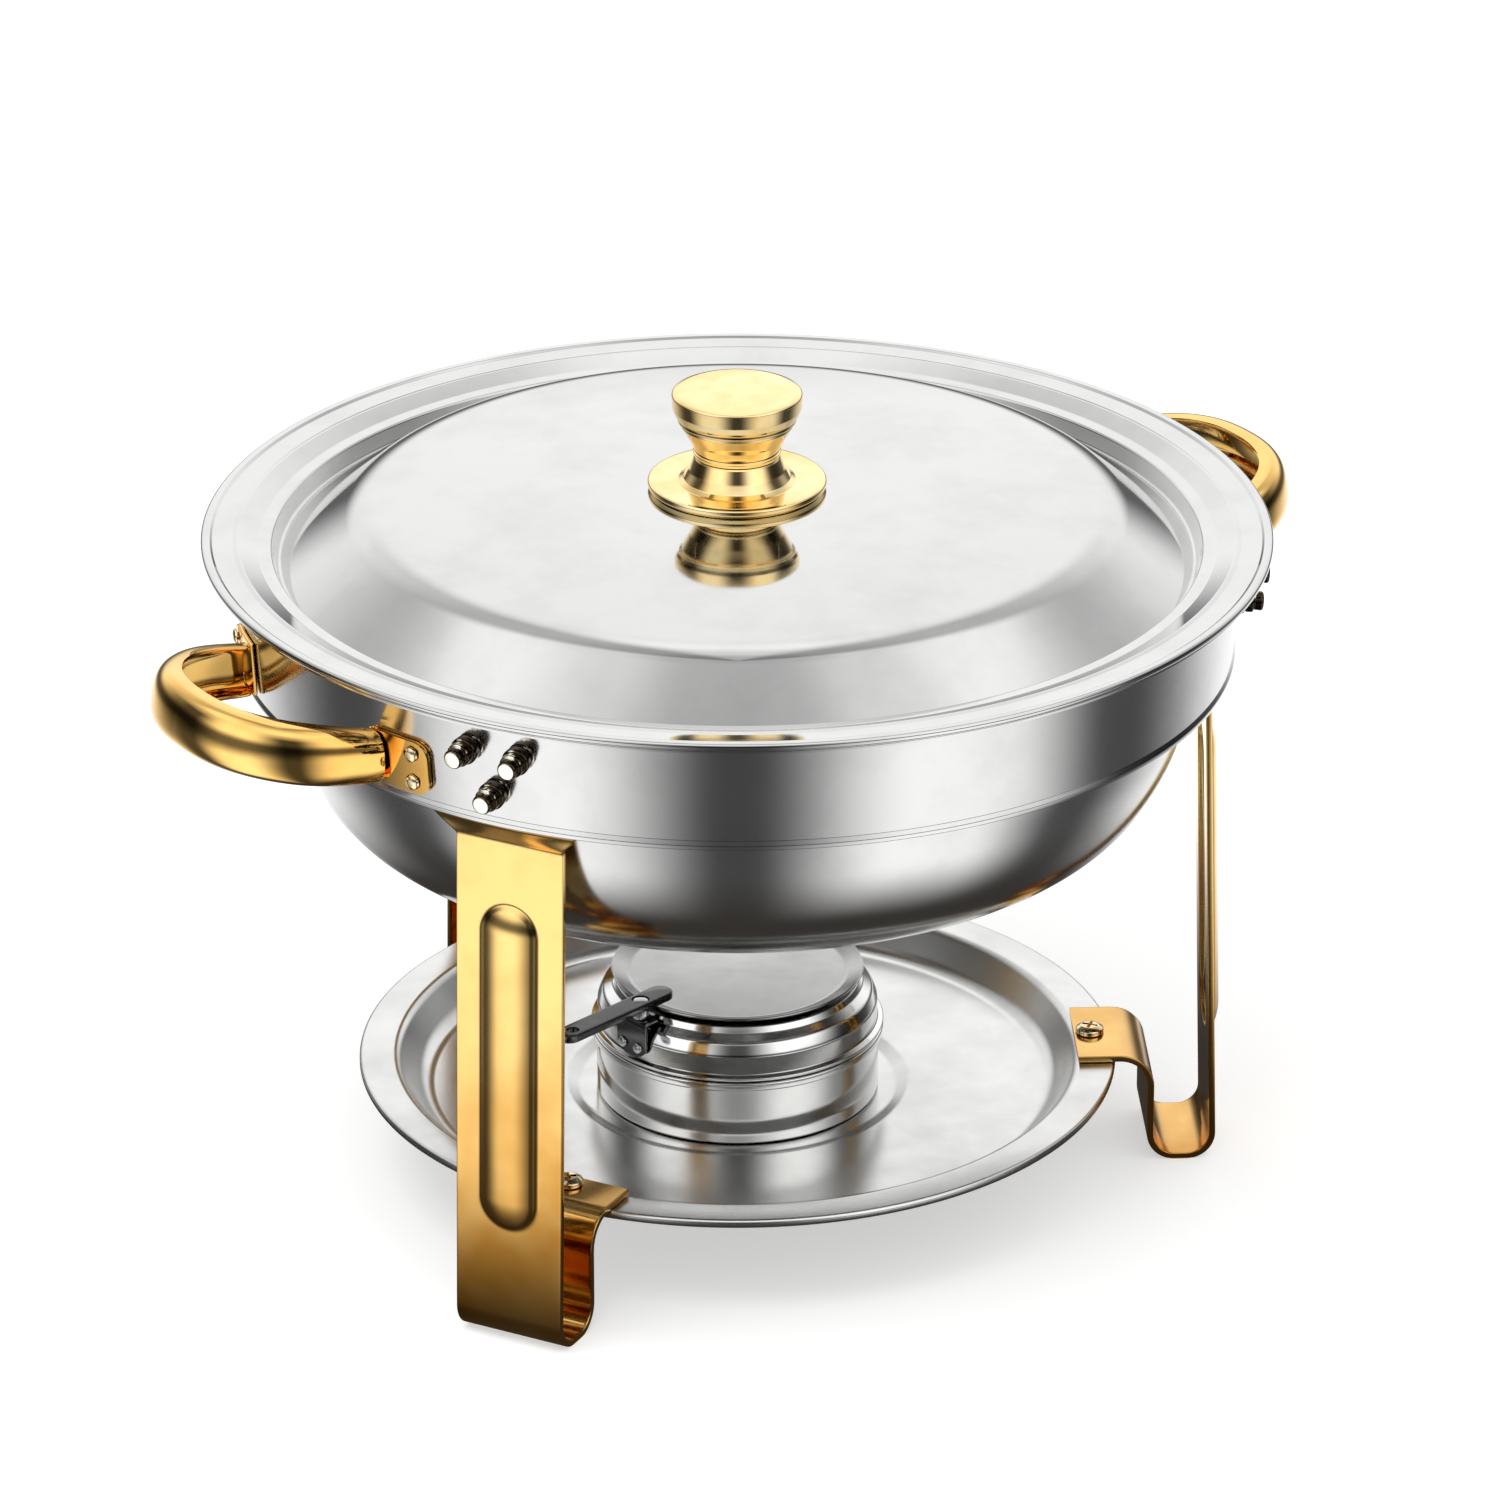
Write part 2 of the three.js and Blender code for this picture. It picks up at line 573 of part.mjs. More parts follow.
function makeDamperLever() {
  const { azimuth, from, to, width, bottom, thickness, eye } = LEVER
  const middle = (from + to) / 2
  const shape = obround(width, to - from, 3)
  const bar = plate(shape, thickness, Y.clone().negate(), X, Z).translate(middle, 0, bottom)
  const seat = bottom + thickness / 2
  const drills = [
    verticalDrill(2, bottom - 1, bottom + thickness + 1, eye, 0),
    verticalDrill(PIVOT.shank + CLEARANCE, bottom - 1, bottom + thickness + 1, PIVOT.place, 0),
    verticalDrill(PIVOT.shoulder + CLEARANCE, seat, bottom + thickness + 1, PIVOT.place, 0),
  ]
  const mesh = named('damper_lever', geometryOf(cut(solid(bar), ...drills)), polishedSteel())
  mesh.rotation.z = radians(azimuth)
  return mesh
}

/** Shouldered rivet that stands on the bracket's shelf and carries the lever. */
function makeDamperPivot() {
  const { shank, shoulder } = PIVOT
  const shoulderBottom = BRACKET.shelf + BRACKET.thickness + CLEARANCE
  const shoulderTop = LEVER.bottom - CLEARANCE
  const headBottom = LEVER.bottom + LEVER.thickness / 2 + CLEARANCE
  const tail = BRACKET.shelf - CLEARANCE
  const profile = outline(
    [0, tail - 0.5], [shank, tail], [shank, shoulderBottom], [shoulder, shoulderBottom],
    [shoulder, shoulderTop], [shank, shoulderTop], [shank, headBottom], [shoulder, headBottom],
    [shoulder, headBottom + 0.8], [0, headBottom + 0.9],
  )
  const mesh = named('damper_pivot', turned(profile, FASTENER_SIDES), polishedSteel())
  const angle = radians(LEVER.azimuth)
  mesh.position.set(PIVOT.place * Math.cos(angle), PIVOT.place * Math.sin(angle), 0)
  return mesh
}

// ---- Assembly ---------------------------------------------------------------------------------

const chafingDish = new THREE.Group()

const cover = new THREE.Group()
cover.add(makeLid(), ...makeKnob())

const frame = new THREE.Group()
frame.add(makeBand(), makeTray())
for (const [side, azimuth] of Object.entries(LEG_AZIMUTHS)) {
  frame.add(makeLeg(side, azimuth), ...makeTrayFastening(side, azimuth))
  for (const [place, bolt] of Object.entries(LEG_BOLTS)) {
    frame.add(...makeLegBolt(side, azimuth, place, bolt))
  }
}
for (const [side, azimuth] of Object.entries(HANDLE_AZIMUTHS)) {
  frame.add(makeHandle(side, azimuth), ...makeHandleRivets(side, azimuth))
}

const burner = new THREE.Group()
burner.add(makeBurnerCup(), makeBurnerCap(), makeBracket(), ...makeBracketRivets())
burner.add(makeDamperPivot(), makeDamperDisc(), makeDamperLever())

chafingDish.add(cover, makeFoodPan(), makeWaterPan(), frame, burner)

export default chafingDish
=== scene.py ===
"""The looks of the round chafing dish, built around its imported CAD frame.

Every piece stands for the CAD node of the same part and rides on that node's body.
Outlines are in millimetres, and meshes are made in metres, in the frame's own axes.
"""

import math

import bmesh
import bpy
import numpy as np
from mathutils import Matrix, Vector


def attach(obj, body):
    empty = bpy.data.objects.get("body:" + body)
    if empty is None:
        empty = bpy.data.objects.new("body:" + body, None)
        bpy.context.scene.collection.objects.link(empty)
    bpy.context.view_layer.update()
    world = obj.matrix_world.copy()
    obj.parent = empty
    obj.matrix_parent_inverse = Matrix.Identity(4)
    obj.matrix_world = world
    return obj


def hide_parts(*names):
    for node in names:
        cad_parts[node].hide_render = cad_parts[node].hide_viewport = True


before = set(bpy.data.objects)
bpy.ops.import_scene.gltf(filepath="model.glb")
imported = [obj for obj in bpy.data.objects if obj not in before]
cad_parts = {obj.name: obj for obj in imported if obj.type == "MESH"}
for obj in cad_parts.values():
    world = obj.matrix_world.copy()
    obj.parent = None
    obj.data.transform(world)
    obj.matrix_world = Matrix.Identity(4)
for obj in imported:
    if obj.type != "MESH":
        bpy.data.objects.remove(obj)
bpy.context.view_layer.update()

MM = 0.001
# Keeps the end of a rounded strip from closing to nothing.
THINNEST = 0.05
LEG_AZIMUTHS = {"back": 90, "front_left": 210, "front_right": 330}
HANDLE_AZIMUTHS = {"right": 0, "left": 180}

# ---- Outlines ---------------------------------------------------------------------------------


def filleted(points, steps=6):
    """Rounds the corners of an open line. A point is (x, y) or (x, y, corner radius)."""
    line = []
    for index, entry in enumerate(points):
        here = np.array(entry[:2], float)
        radius = entry[2] if len(entry) > 2 else 0
        if radius == 0 or index in (0, len(points) - 1):
            line.append(here)
            continue
        into = here - np.array(points[index - 1][:2], float)
        out = np.array(points[index + 1][:2], float) - here
        into_length, out_length = np.linalg.norm(into), np.linalg.norm(out)
        into, out = into / into_length, out / out_length
        turn = math.atan2(into[0] * out[1] - into[1] * out[0], float(into @ out))
        half = math.tan(abs(turn) / 2)
        reach = min(radius * half, 0.49 * into_length, 0.49 * out_length)
        side = math.copysign(reach / half, turn)
        centre = here - into * reach + side * np.array([-into[1], into[0]])
        arm = here - into * reach - centre
        for step in range(steps + 1):
            angle = turn * step / steps
            cos, sin = math.cos(angle), math.sin(angle)
            line.append(centre + np.array([arm[0] * cos - arm[1] * sin, arm[0] * sin + arm[1] * cos]))
    return np.array(line)


def normals_of(line):
    """Unit normals to the left of a line, one for each point."""
    along = np.gradient(line, axis=0)
    along /= np.linalg.norm(along, axis=1)[:, None]
    return np.stack([-along[:, 1], along[:, 0]], axis=1)


def offset_line(line, distance):
    """The line moved to its left, with mitred corners."""
    steps = np.diff(line, axis=0)
    steps /= np.linalg.norm(steps, axis=1)[:, None]
    left = np.stack([-steps[:, 1], steps[:, 0]], axis=1)
    into = np.vstack([left[:1], left])
    out = np.vstack([left, left[-1:]])
    share = distance / (1 + np.sum(into * out, axis=1))
    return line + (into + out) * share[:, None]


def quarter(start, end, steps=20):
    """Quarter ellipse that leaves start along the height and reaches end along the radius."""
    angles = np.linspace(0, math.pi / 2, steps + 1)
    radius = end[0] + (start[0] - end[0]) * np.cos(angles)
    height = start[1] + (end[1] - start[1]) * np.sin(angles)
    return np.stack([radius, height], axis=1)


def evenly(line, count):
    """The line divided evenly into points, and how far along it each of them is."""
    reach = np.concatenate([[0], np.cumsum(np.linalg.norm(np.diff(line, axis=0), axis=1))])
    along = np.linspace(0, reach[-1], count)
    points = np.stack([np.interp(along, reach, line[:, axis]) for axis in (0, 1)], axis=1)
    return points, along


def smoothstep(value):
    """Runs smoothly from 0 to 1 as the value does, and stays there beyond."""
    value = np.clip(value, 0, 1)
    return value * value * (3 - 2 * value)


def fade(value, start, span):
    """0 up to the start, 1 from the start plus the span, and smooth between."""
    return float(smoothstep((value - start) / span))


def rounded_end(half, corner, from_end):
    """Half the width of a strip whose corners are rounded, at a distance from its end."""
    over = min(max(corner - from_end, 0), corner - THINNEST)
    return half - corner + math.sqrt(corner**2 - over**2)


def edge_round(face_end, back_end, steps=4):
    """Half circle that joins the two sides of a sheet at its free edge, without its ends."""
    middle = (face_end + back_end) / 2
    arm = face_end - middle
    outward = np.array([-arm[1], arm[0]])
    angles = np.linspace(0, math.pi, steps + 2)[1:-1]
    return [middle + arm * math.cos(a) - outward * math.sin(a) for a in angles]


def sheet_loop(face, thickness):
    """Closed outline of a sheet with rounded free edges. Its metal lies to the left of face."""
    face = np.asarray(face, float)
    back = offset_line(face, thickness)[::-1]
    loop = list(face)
    if face[-1][0] > 1e-6:
        loop += edge_round(face[-1], back[0])
    loop += list(back)
    if face[0][0] > 1e-6:
        loop += edge_round(back[-1], face[0])
    return np.array(loop)


# ---- Meshes -----------------------------------------------------------------------------------


def mesh_object(name, vertices, faces, sharp_degrees=32):
    """A smooth-shaded object from vertices in millimetres, with its edges sharp above an angle."""
    mesh = bpy.data.meshes.new(name)
    mesh.from_pydata([Vector(v) * MM for v in vertices], [], faces)
    body = bmesh.new()
    body.from_mesh(mesh)
    bmesh.ops.remove_doubles(body, verts=body.verts, dist=1e-7)
    bmesh.ops.recalc_face_normals(body, faces=body.faces)
    body.to_mesh(mesh)
    body.free()
    mesh.shade_smooth()
    mesh.set_sharp_from_angle(angle=math.radians(sharp_degrees))
    piece = bpy.data.objects.new(name, mesh)
    bpy.context.scene.collection.objects.link(piece)
    return piece


def lathe(name, loop, sides=160, closed=True, sharp_degrees=32):
    """Solid of revolution about Z from an outline of (radius, height) points."""
    vertices, rings, faces = [], [], []
    for radius, height in loop:
        if radius < 1e-6:
            rings.append([len(vertices)])
            vertices.append((0, 0, height))
            continue
        rings.append(list(range(len(vertices), len(vertices) + sides)))
        for step in range(sides):
            angle = 2 * math.pi * step / sides
            vertices.append((radius * math.cos(angle), radius * math.sin(angle), height))
    pairs = list(zip(rings, rings[1:]))
    if closed:
        pairs.append((rings[-1], rings[0]))
    for low, high in pairs:
        for step in range(sides):
            after = (step + 1) % sides
            corners = [low[step % len(low)], low[after % len(low)]]
            corners += [high[after % len(high)], high[step % len(high)]]
            corners = list(dict.fromkeys(corners))
            if len(corners) > 2:
                faces.append(corners)
    return mesh_object(name, vertices, faces, sharp_degrees)


def skin(name, rings, sharp_degrees=32):
    """Closed solid drawn over rings of points in millimetres, all with the same count."""
    count = len(rings[0])
    vertices = [tuple(point) for ring in rings for point in ring]
    faces = []
    for row in range(len(rings) - 1):
        for step in range(count):
            after = (step + 1) % count
            low, high = row * count, (row + 1) * count
            faces.append([low + step, low + after, high + after, high + step])
    faces.append(list(range(count)))
    faces.append(list(range((len(rings) - 1) * count, len(rings) * count)))
    return mesh_object(name, vertices, faces, sharp_degrees)


def cut_away(piece, *tools):
    """Takes the tools' shapes out of a piece and removes the tools."""
    for tool in tools:
        modifier = piece.modifiers.new("cut", "BOOLEAN")
        modifier.operation = "DIFFERENCE"
        modifier.solver = "EXACT"
        modifier.object = tool
    bpy.context.view_layer.update()
    depsgraph = bpy.context.evaluated_depsgraph_get()
    mesh = bpy.data.meshes.new_from_object(piece.evaluated_get(depsgraph))
    piece.modifiers.clear()
    piece.data = mesh
    mesh.shade_smooth()
    mesh.set_sharp_from_angle(angle=math.radians(30))
    for tool in tools:
        bpy.data.objects.remove(tool)


def block(size, centre):
    """A box in millimetres, used only as a cutting tool."""
    half = np.array(size) / 2
    corners = [np.array(centre) + half * (x, y, z) for x in (-1, 1) for y in (-1, 1) for z in (-1, 1)]
    faces = [(0, 1, 3, 2), (4, 6, 7, 5), (0, 4, 5, 1), (2, 3, 7, 6), (0, 2, 6, 4), (1, 5, 7, 3)]
    return mesh_object("tool", corners, faces)


def drill(reach, radius, low, high, sides):
    """An upright round bar at a distance out along X, used only as a cutting tool."""
    bar = lathe("tool", [(0, low), (radius, low), (radius, high), (0, high)], sides, closed=False)
    bar.data.transform(Matrix.Translation(Vector((reach, 0, 0)) * MM))
    return bar


def finish_piece(piece, material, slot, body, *nodes):
    """Gives a piece its material, its body and the CAD nodes that it stands for. Its slot is not used."""
    piece.data.materials.clear()
    piece.data.materials.append(material)
    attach(piece, body)
    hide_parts(*nodes)


def stand_out(piece, azimuth, radius, height, lean=0):
    """Stands a piece that was turned about Z on a cylinder's side, with its own Z outwards."""
    angle = math.radians(azimuth)
    place = Vector((radius * math.cos(angle), radius * math.sin(angle), height)) * MM
    turn = Matrix.Rotation(angle, 4, "Z") @ Matrix.Rotation(math.pi / 2 + math.radians(lean), 4, "Y")
    piece.matrix_world = Matrix.Translation(place) @ turn


# ---- Materials --------------------------------------------------------------------------------


class Shader:
    """A Principled material under construction."""

    def __init__(self, name, colour, roughness, metallic=1.0):
        self.material = bpy.data.materials.new(name)
        self.material.use_nodes = True
        self.tree = self.material.node_tree
        self.shader = self.tree.nodes["Principled BSDF"]
        self.set("Base Color", (*colour, 1))
        self.set("Metallic", metallic)
        self.set("Roughness", roughness)
        self.place = self.add("ShaderNodeTexCoord").outputs["Object"]

    def set(self, socket, value):
        self.shader.inputs[socket].default_value = value

    def add(self, kind, inputs=None, **settings):
        node = self.tree.nodes.new(kind)
        for key, value in settings.items():
            setattr(node, key, value)
        for key, value in (inputs or {}).items():
            if isinstance(value, bpy.types.NodeSocket):
                self.link(value, node.inputs[key])
            else:
                node.inputs[key].default_value = value
        return node

    def link(self, source, target):
        self.tree.links.new(source, target)

    def noise(self, scale, detail=3, roughness=0.55, stretch=(1, 1, 1)):
        """Noise that is `scale` cycles to the metre, stretched along the axes."""
        mapping = self.add("ShaderNodeMapping", {"Vector": self.place, "Scale": stretch})
        inputs = {"Vector": mapping.outputs[0], "Scale": scale, "Detail": detail, "Roughness": roughness}
        return self.add("ShaderNodeTexNoise", inputs).outputs["Fac"]

    def spread(self, value, low, high, to_low, to_high):
        """Maps a value from one range to another, clamped."""
        inputs = {"Value": value, "From Min": low, "From Max": high, "To Min": to_low, "To Max": to_high}
        return self.add("ShaderNodeMapRange", inputs).outputs[0]

    def tint(self, value, first, second, low=0.35, high=0.65):
        """Colours the surface from one colour to another as a value rises."""
        ramp = self.add("ShaderNodeValToRGB", {"Fac": value})
        ramp.color_ramp.elements[0].position = low
        ramp.color_ramp.elements[0].color = (*first, 1)
        ramp.color_ramp.elements[1].position = high
        ramp.color_ramp.elements[1].color = (*second, 1)
        self.link(ramp.outputs[0], self.shader.inputs["Base Color"])

    def rough(self, value):
        self.link(value, self.shader.inputs["Roughness"])

    def show(self, source):
        """Shows a closure in place of the Principled one, and keeps it out of the sampled lamps."""
        output = next(node for node in self.tree.nodes if node.type == "OUTPUT_MATERIAL")
        self.link(source, output.inputs["Surface"])
        self.material.cycles.emission_sampling = "NONE"

    def bump(self, value, distance, strength=1.0):
        """Raises the surface by up to `distance` metres where the value is 1."""
        node = self.add("ShaderNodeBump", {"Height": value, "Distance": distance, "Strength": strength})
        last = self.shader.inputs["Normal"].links
        if last:
            self.link(last[0].from_socket, node.inputs["Normal"])
        self.link(node.outputs[0], self.shader.inputs["Normal"])


STEEL_LIGHT = (0.63, 0.63, 0.625)
STEEL_DULL = (0.55, 0.55, 0.545)
# Steel tones made lighter as painted light, for the tray and burner, whose reflections of the darker parts
# round them come out dim.
PAINTED_LIGHT_STEEL_PALE = (0.82, 0.82, 0.81)
PAINTED_LIGHT_STEEL_DULL = (0.73, 0.73, 0.72)
SHADED_STEEL_LIGHT = (0.47, 0.47, 0.465)
SHADED_STEEL_DULL = (0.38, 0.38, 0.375)
DARK_STEEL_LIGHT = (0.15, 0.15, 0.155)
DARK_STEEL_DULL = (0.08, 0.08, 0.085)
GOLD_LIGHT = (0.96, 0.62, 0.20)
GOLD_DEEP = (0.84, 0.46, 0.11)
LEG_GOLD_LIGHT = (0.94, 0.63, 0.23)
LEG_GOLD_DEEP = (0.55, 0.26, 0.045)
KNOB_GOLD_LIGHT = (0.98, 0.78, 0.42)
KNOB_GOLD_DEEP = (0.86, 0.56, 0.18)
STUD_GOLD_LIGHT = (0.90, 0.76, 0.50)
STUD_GOLD_DEEP = (0.66, 0.50, 0.26)
# Painted reflections of the cap nuts: a bright colour for painted highlights and a near-black one for painted
# dark reflections.
NUT_PAINTED_HIGHLIGHT = (0.95, 0.88, 0.72)
NUT_PAINTED_DARK_REFLECTION = (0.055, 0.04, 0.025)
# Height from which the nut's outer end is painted bright, as a painted highlight.
NUT_TIP = 0.0092


def polished_steel(name, gloss=0.06, smudge=0.05, wave=0.00012, light=STEEL_LIGHT, dull=STEEL_DULL):
    """Mirror-polished pressed steel: faint waves from the press, smudges and fine polishing lines."""
    shader = Shader(name, light, gloss)
    broad = shader.noise(9, 2)
    smudges = shader.noise(38, 5, 0.62)
    shader.tint(smudges, light, dull, 0.45, 0.85)
    shader.rough(shader.spread(smudges, 0.4, 0.75, gloss, gloss + smudge))
    shader.bump(broad, wave)
    shader.bump(shader.noise(900, 2, 0.5, (1, 1, 6)), 0.0000012)
    return shader.material


def turned_steel(name, roughness=0.24, anisotropic=0.75, grain=0.000006, light=STEEL_LIGHT, dull=STEEL_DULL):
    """Steel with the ring-shaped grain of a lathe, which spreads highlights into a fan."""
    shader = Shader(name, light, roughness)
    shader.set("Anisotropic", anisotropic)
    tangent = shader.add("ShaderNodeTangent", direction_type="RADIAL", axis="Z")
    shader.link(tangent.outputs[0], shader.shader.inputs["Tangent"])
    flat = shader.add("ShaderNodeVectorMath", {0: shader.place, 1: (1, 1, 0)}, operation="MULTIPLY")
    reach = shader.add("ShaderNodeVectorMath", {0: flat.outputs[0]}, operation="LENGTH").outputs["Value"]
    rings = shader.add(
        "ShaderNodeTexNoise", {"W": reach, "Scale": 1500.0, "Detail": 3.0}, noise_dimensions="1D"
    ).outputs["Fac"]
    shader.bump(rings, grain)
    smudges = shader.noise(30, 5, 0.6)
    shader.tint(smudges, light, dull, 0.4, 0.8)
    shader.rough(shader.spread(smudges, 0.35, 0.75, roughness, roughness + 0.07))
    return shader.material


def polished_gold(name, gloss=0.09, light=GOLD_LIGHT, deep=GOLD_DEEP, patches=22):
    """Gold-coloured plating over polished metal, deeper in tone where it is thicker."""
    shader = Shader(name, light, gloss)
    tone = shader.noise(patches, 4, 0.6)
    shader.tint(tone, light, deep, 0.38, 0.72)
    shader.rough(shader.spread(shader.noise(60, 5, 0.6), 0.4, 0.75, gloss, gloss + 0.04))
    shader.bump(shader.noise(14, 2), 0.0001)
    shader.bump(shader.noise(1200, 2), 0.000001)
    return shader.material


def nut_with_painted_reflections(name):
    """Cap nut painted near-black as dark reflection, with painted highlights in patches and on its end."""
    shader = Shader(name, NUT_PAINTED_DARK_REFLECTION, 0.05)
    along = shader.add("ShaderNodeSeparateXYZ", {0: shader.place}).outputs[2]
    # Painted highlight on the nut's outer end.
    end = shader.spread(along, NUT_TIP, NUT_TIP + 0.0002, 0, 0.5)
    # Painted highlights in small patches on the sides, which are painted near-black as dark reflections.
    painted_glints = shader.noise(210, 2, 0.4, (1, 1, 1.6))
    painted_highlights = shader.add("ShaderNodeMath", {0: painted_glints, 1: end}, operation="ADD").outputs[0]
    shader.tint(painted_highlights, NUT_PAINTED_DARK_REFLECTION, NUT_PAINTED_HIGHLIGHT, 0.56, 0.61)
    return shader.material


LID_STEEL = polished_steel("lid_steel", 0.045, 0.05, 0.0002)
PAN_STEEL = polished_steel("pan_steel", 0.13, 0.05)
BAND_STEEL = polished_steel("band_steel", 0.13, 0.05)
# The tray and burner take the lighter steel tones, as painted light.
TRAY_STEEL = turned_steel("tray_steel", 0.2, 0.6, 0.000003, PAINTED_LIGHT_STEEL_DULL, STEEL_LIGHT)
BURNER_STEEL = turned_steel("burner_steel", 0.08, 0.3, 0.0000015, PAINTED_LIGHT_STEEL_PALE, PAINTED_LIGHT_STEEL_DULL)
DISC_STEEL = turned_steel("disc_steel", 0.16, 0.4, 0.0000015, SHADED_STEEL_LIGHT, SHADED_STEEL_DULL)
DAMPER_STEEL = polished_steel("damper_steel", 0.1, 0.05, 0.00012, DARK_STEEL_LIGHT, DARK_STEEL_DULL)
FASTENER_STEEL = polished_steel("fastener_steel", 0.16)
LEG_GOLD = polished_gold("leg_gold", 0.13, LEG_GOLD_LIGHT, LEG_GOLD_DEEP, 11)
HANDLE_GOLD = polished_gold("handle_gold", 0.06)
KNOB_GOLD = polished_gold("knob_gold", 0.025, KNOB_GOLD_LIGHT, KNOB_GOLD_DEEP, 45)
STUD_GOLD = polished_gold("stud_gold", 0.06, STUD_GOLD_LIGHT, STUD_GOLD_DEEP)
# Cap nuts painted near-black as dark reflections, with painted highlights.
CAP_NUT_GOLD = nut_with_painted_reflections("cap_nut_gold")

# ---- Lid and knob -----------------------------------------------------------------------------

LID_TOP = 226.4
KNOB_BASE = 226.7
KNOB_NECK = KNOB_BASE + 10.3
WASHER_TOP = LID_TOP - 1.1


def make_lid():
    face = filleted(
        [
            (162.9, 210.7), (165, 210.8, 0.9), (165, 213, 1.05), (162.3, 213, 0.9), (161.4, 212.3, 0.5),
            (155.2, 211.9, 2.5), (153.6, 212.2, 1.2), (147.4, 209.7, 2),
            (143.3, 209.6, 1.1), (141.3, 203.8, 1.0), (116, 222.1, 19), (60, 225.4, 400), (3, LID_TOP),
        ],
        8,
    )
    lid = lathe("lid_shell", sheet_loop(face, 0.8), 240)
    finish_piece(lid, LID_STEEL, "lid_steel", "lid", "lid")


def make_knob_base():
    base = KNOB_BASE
    flange = filleted(
        [
            (3, base - 0.1), (26.4, base - 0.6, 0.3), (27.6, base + 0.6, 1), (27.5, base + 2.2, 0.8),
            (26, base + 2.4, 0.6), (18.2, base + 1.9, 1), (16.5, base + 2.9, 0.8), (14.8, base + 5.6, 4),
            (13.3, base + 9.6, 0.3), (13, base + 10), (3, base + 10), (3, base - 0.1),
        ],
        7,
    )
    flange = lathe("knob_flange", flange, 128, closed=False)
    finish_piece(flange, KNOB_GOLD, "knob_gold", "lid", "lid_knob_base")


def make_knob_grip():
    neck = KNOB_NECK
    grip = filleted(
        [
            (2.8, neck + 12), (2.8, neck), (13.3, neck, 0.4), (13.6, neck + 1.3, 0.3),
            (13, neck + 1.7, 0.2), (14.6, neck + 5.2, 5), (17.5, neck + 10.2, 0.8),
            (17, neck + 10.7, 0.3), (18.4, neck + 11.4, 0.5), (18.2, neck + 12.4, 0.3),
            (19.2, neck + 13.6, 1), (19.9, neck + 15.6, 1.2), (20.1, neck + 20.1, 0.8),
            (18.4, neck + 20.5, 1), (9, neck + 20.8, 12), (0, neck + 20.9),
        ],
        7,
    )
    grip = np.vstack([[(0, neck + 12)], grip])
    grip = lathe("knob_grip", grip, 128, closed=False)
    finish_piece(grip, KNOB_GOLD, "knob_gold", "lid", "lid_knob")


def make_knob_washer():
    top = WASHER_TOP
    washer = filleted(
        [(2.7, top - 0.5), (2.7, top - 1), (6.5, top - 1, 0.3), (6.5, top, 0.3), (2.7, top), (2.7, top - 0.5)]
    )
    washer = lathe("knob_washer", washer, 48, closed=False)
    finish_piece(washer, FASTENER_STEEL, "fastener_steel", "lid", "lid_knob_washer")


def make_knob_screw():
    """A cross-slotted screw, up through the washer, the lid and the knob."""
    head, tip = WASHER_TOP - 1.3, KNOB_NECK + 11
    screw = filleted(
        [
            (0, head - 2.4), (3.4, head - 2.3, 1.2), (4.6, head - 1, 0.6), (4.6, head, 0.2),
            (2.2, head), (2.2, tip, 0.4), (0, tip),
        ]
    )
    screw = lathe("knob_screw", screw, 40, closed=False)
    cut_away(screw, block((5, 0.9, 2), (0, 0, head - 2.6)), block((0.9, 5, 2), (0, 0, head - 2.6)))
    finish_piece(screw, FASTENER_STEEL, "fastener_steel", "lid", "lid_knob_screw")


# ---- Pans, band and tray ----------------------------------------------------------------------

BAND_TOP = (155.7, 208.1)
BAND_BOTTOM = (153.3, 174.0)
BAND_SHEET = 1.2
# Air between parts that bear on each other, so that no two of them share a face.
CLEARANCE = 0.3
BAND_LEAN = math.degrees(math.atan2(BAND_TOP[0] - BAND_BOTTOM[0], BAND_TOP[1] - BAND_BOTTOM[1]))


def band_radius(height):
    share = (height - BAND_BOTTOM[1]) / (BAND_TOP[1] - BAND_BOTTOM[1])
    return BAND_BOTTOM[0] + (BAND_TOP[0] - BAND_BOTTOM[0]) * share


def make_food_pan():
    side, floor = (140.1, 179), (105, 146)
    rim = filleted(
        [
            (163.4, 209.3), (163.4, 210.5, 0.7), (152.6, 210.5, 2), (147.4, 207.8, 2),
            (146.3, 205, 6), side,
        ],
        7,
    )
    face = np.vstack([rim[:-1], quarter(side, floor, 24), [(0, floor[1])]])
    pan = lathe("food_pan_shell", sheet_loop(face, 0.9), 200)
    finish_piece(pan, PAN_STEEL, "pan_steel", "food_pan", "food_pan")


def make_water_pan():
    side, floor = (141.6, 179), (110, 122.9)
    rim = filleted([(160, 209.3), (152.6, 209.3, 1.5), (149.2, 206.8, 3), side], 7)
    face = np.vstack([rim[:-1], quarter(side, floor, 40), [(0, floor[1])]])
    pan = lathe("water_pan_shell", sheet_loop(face, 0.9), 240)
    finish_piece(pan, PAN_STEEL, "pan_steel", "water_pan", "water_pan")


def make_band():
    bottom, top = BAND_BOTTOM, BAND_TOP
    hem = [(bottom[0], bottom[1]), (153.95, 174.1, 0.5), (154.2, 175.5, 0.9), (153.5, 177, 0.7)]
    face = filleted([*hem, top], 5)
    band = lathe("support_band_ring", sheet_loop(face, BAND_SHEET), 240)
    finish_piece(band, BAND_STEEL, "band_steel", "frame", "support_band")


def make_tray():
    face = filleted(
        [
            (117.2, 31.7), (119.8, 31.8, 0.9), (119.8, 34.5, 1.2), (107.4, 34.5, 4), (99.6, 23.6, 7),
            (54.5, 23.6, 5), (50, 21.8, 5), (0, 21.8),
        ],
        8,
    )
    tray = lathe("tray_dish", sheet_loop(face, 1), 240)
    finish_piece(tray, TRAY_STEEL, "tray_steel", "frame", "tray")


# ---- Legs -------------------------------------------------------------------------------------

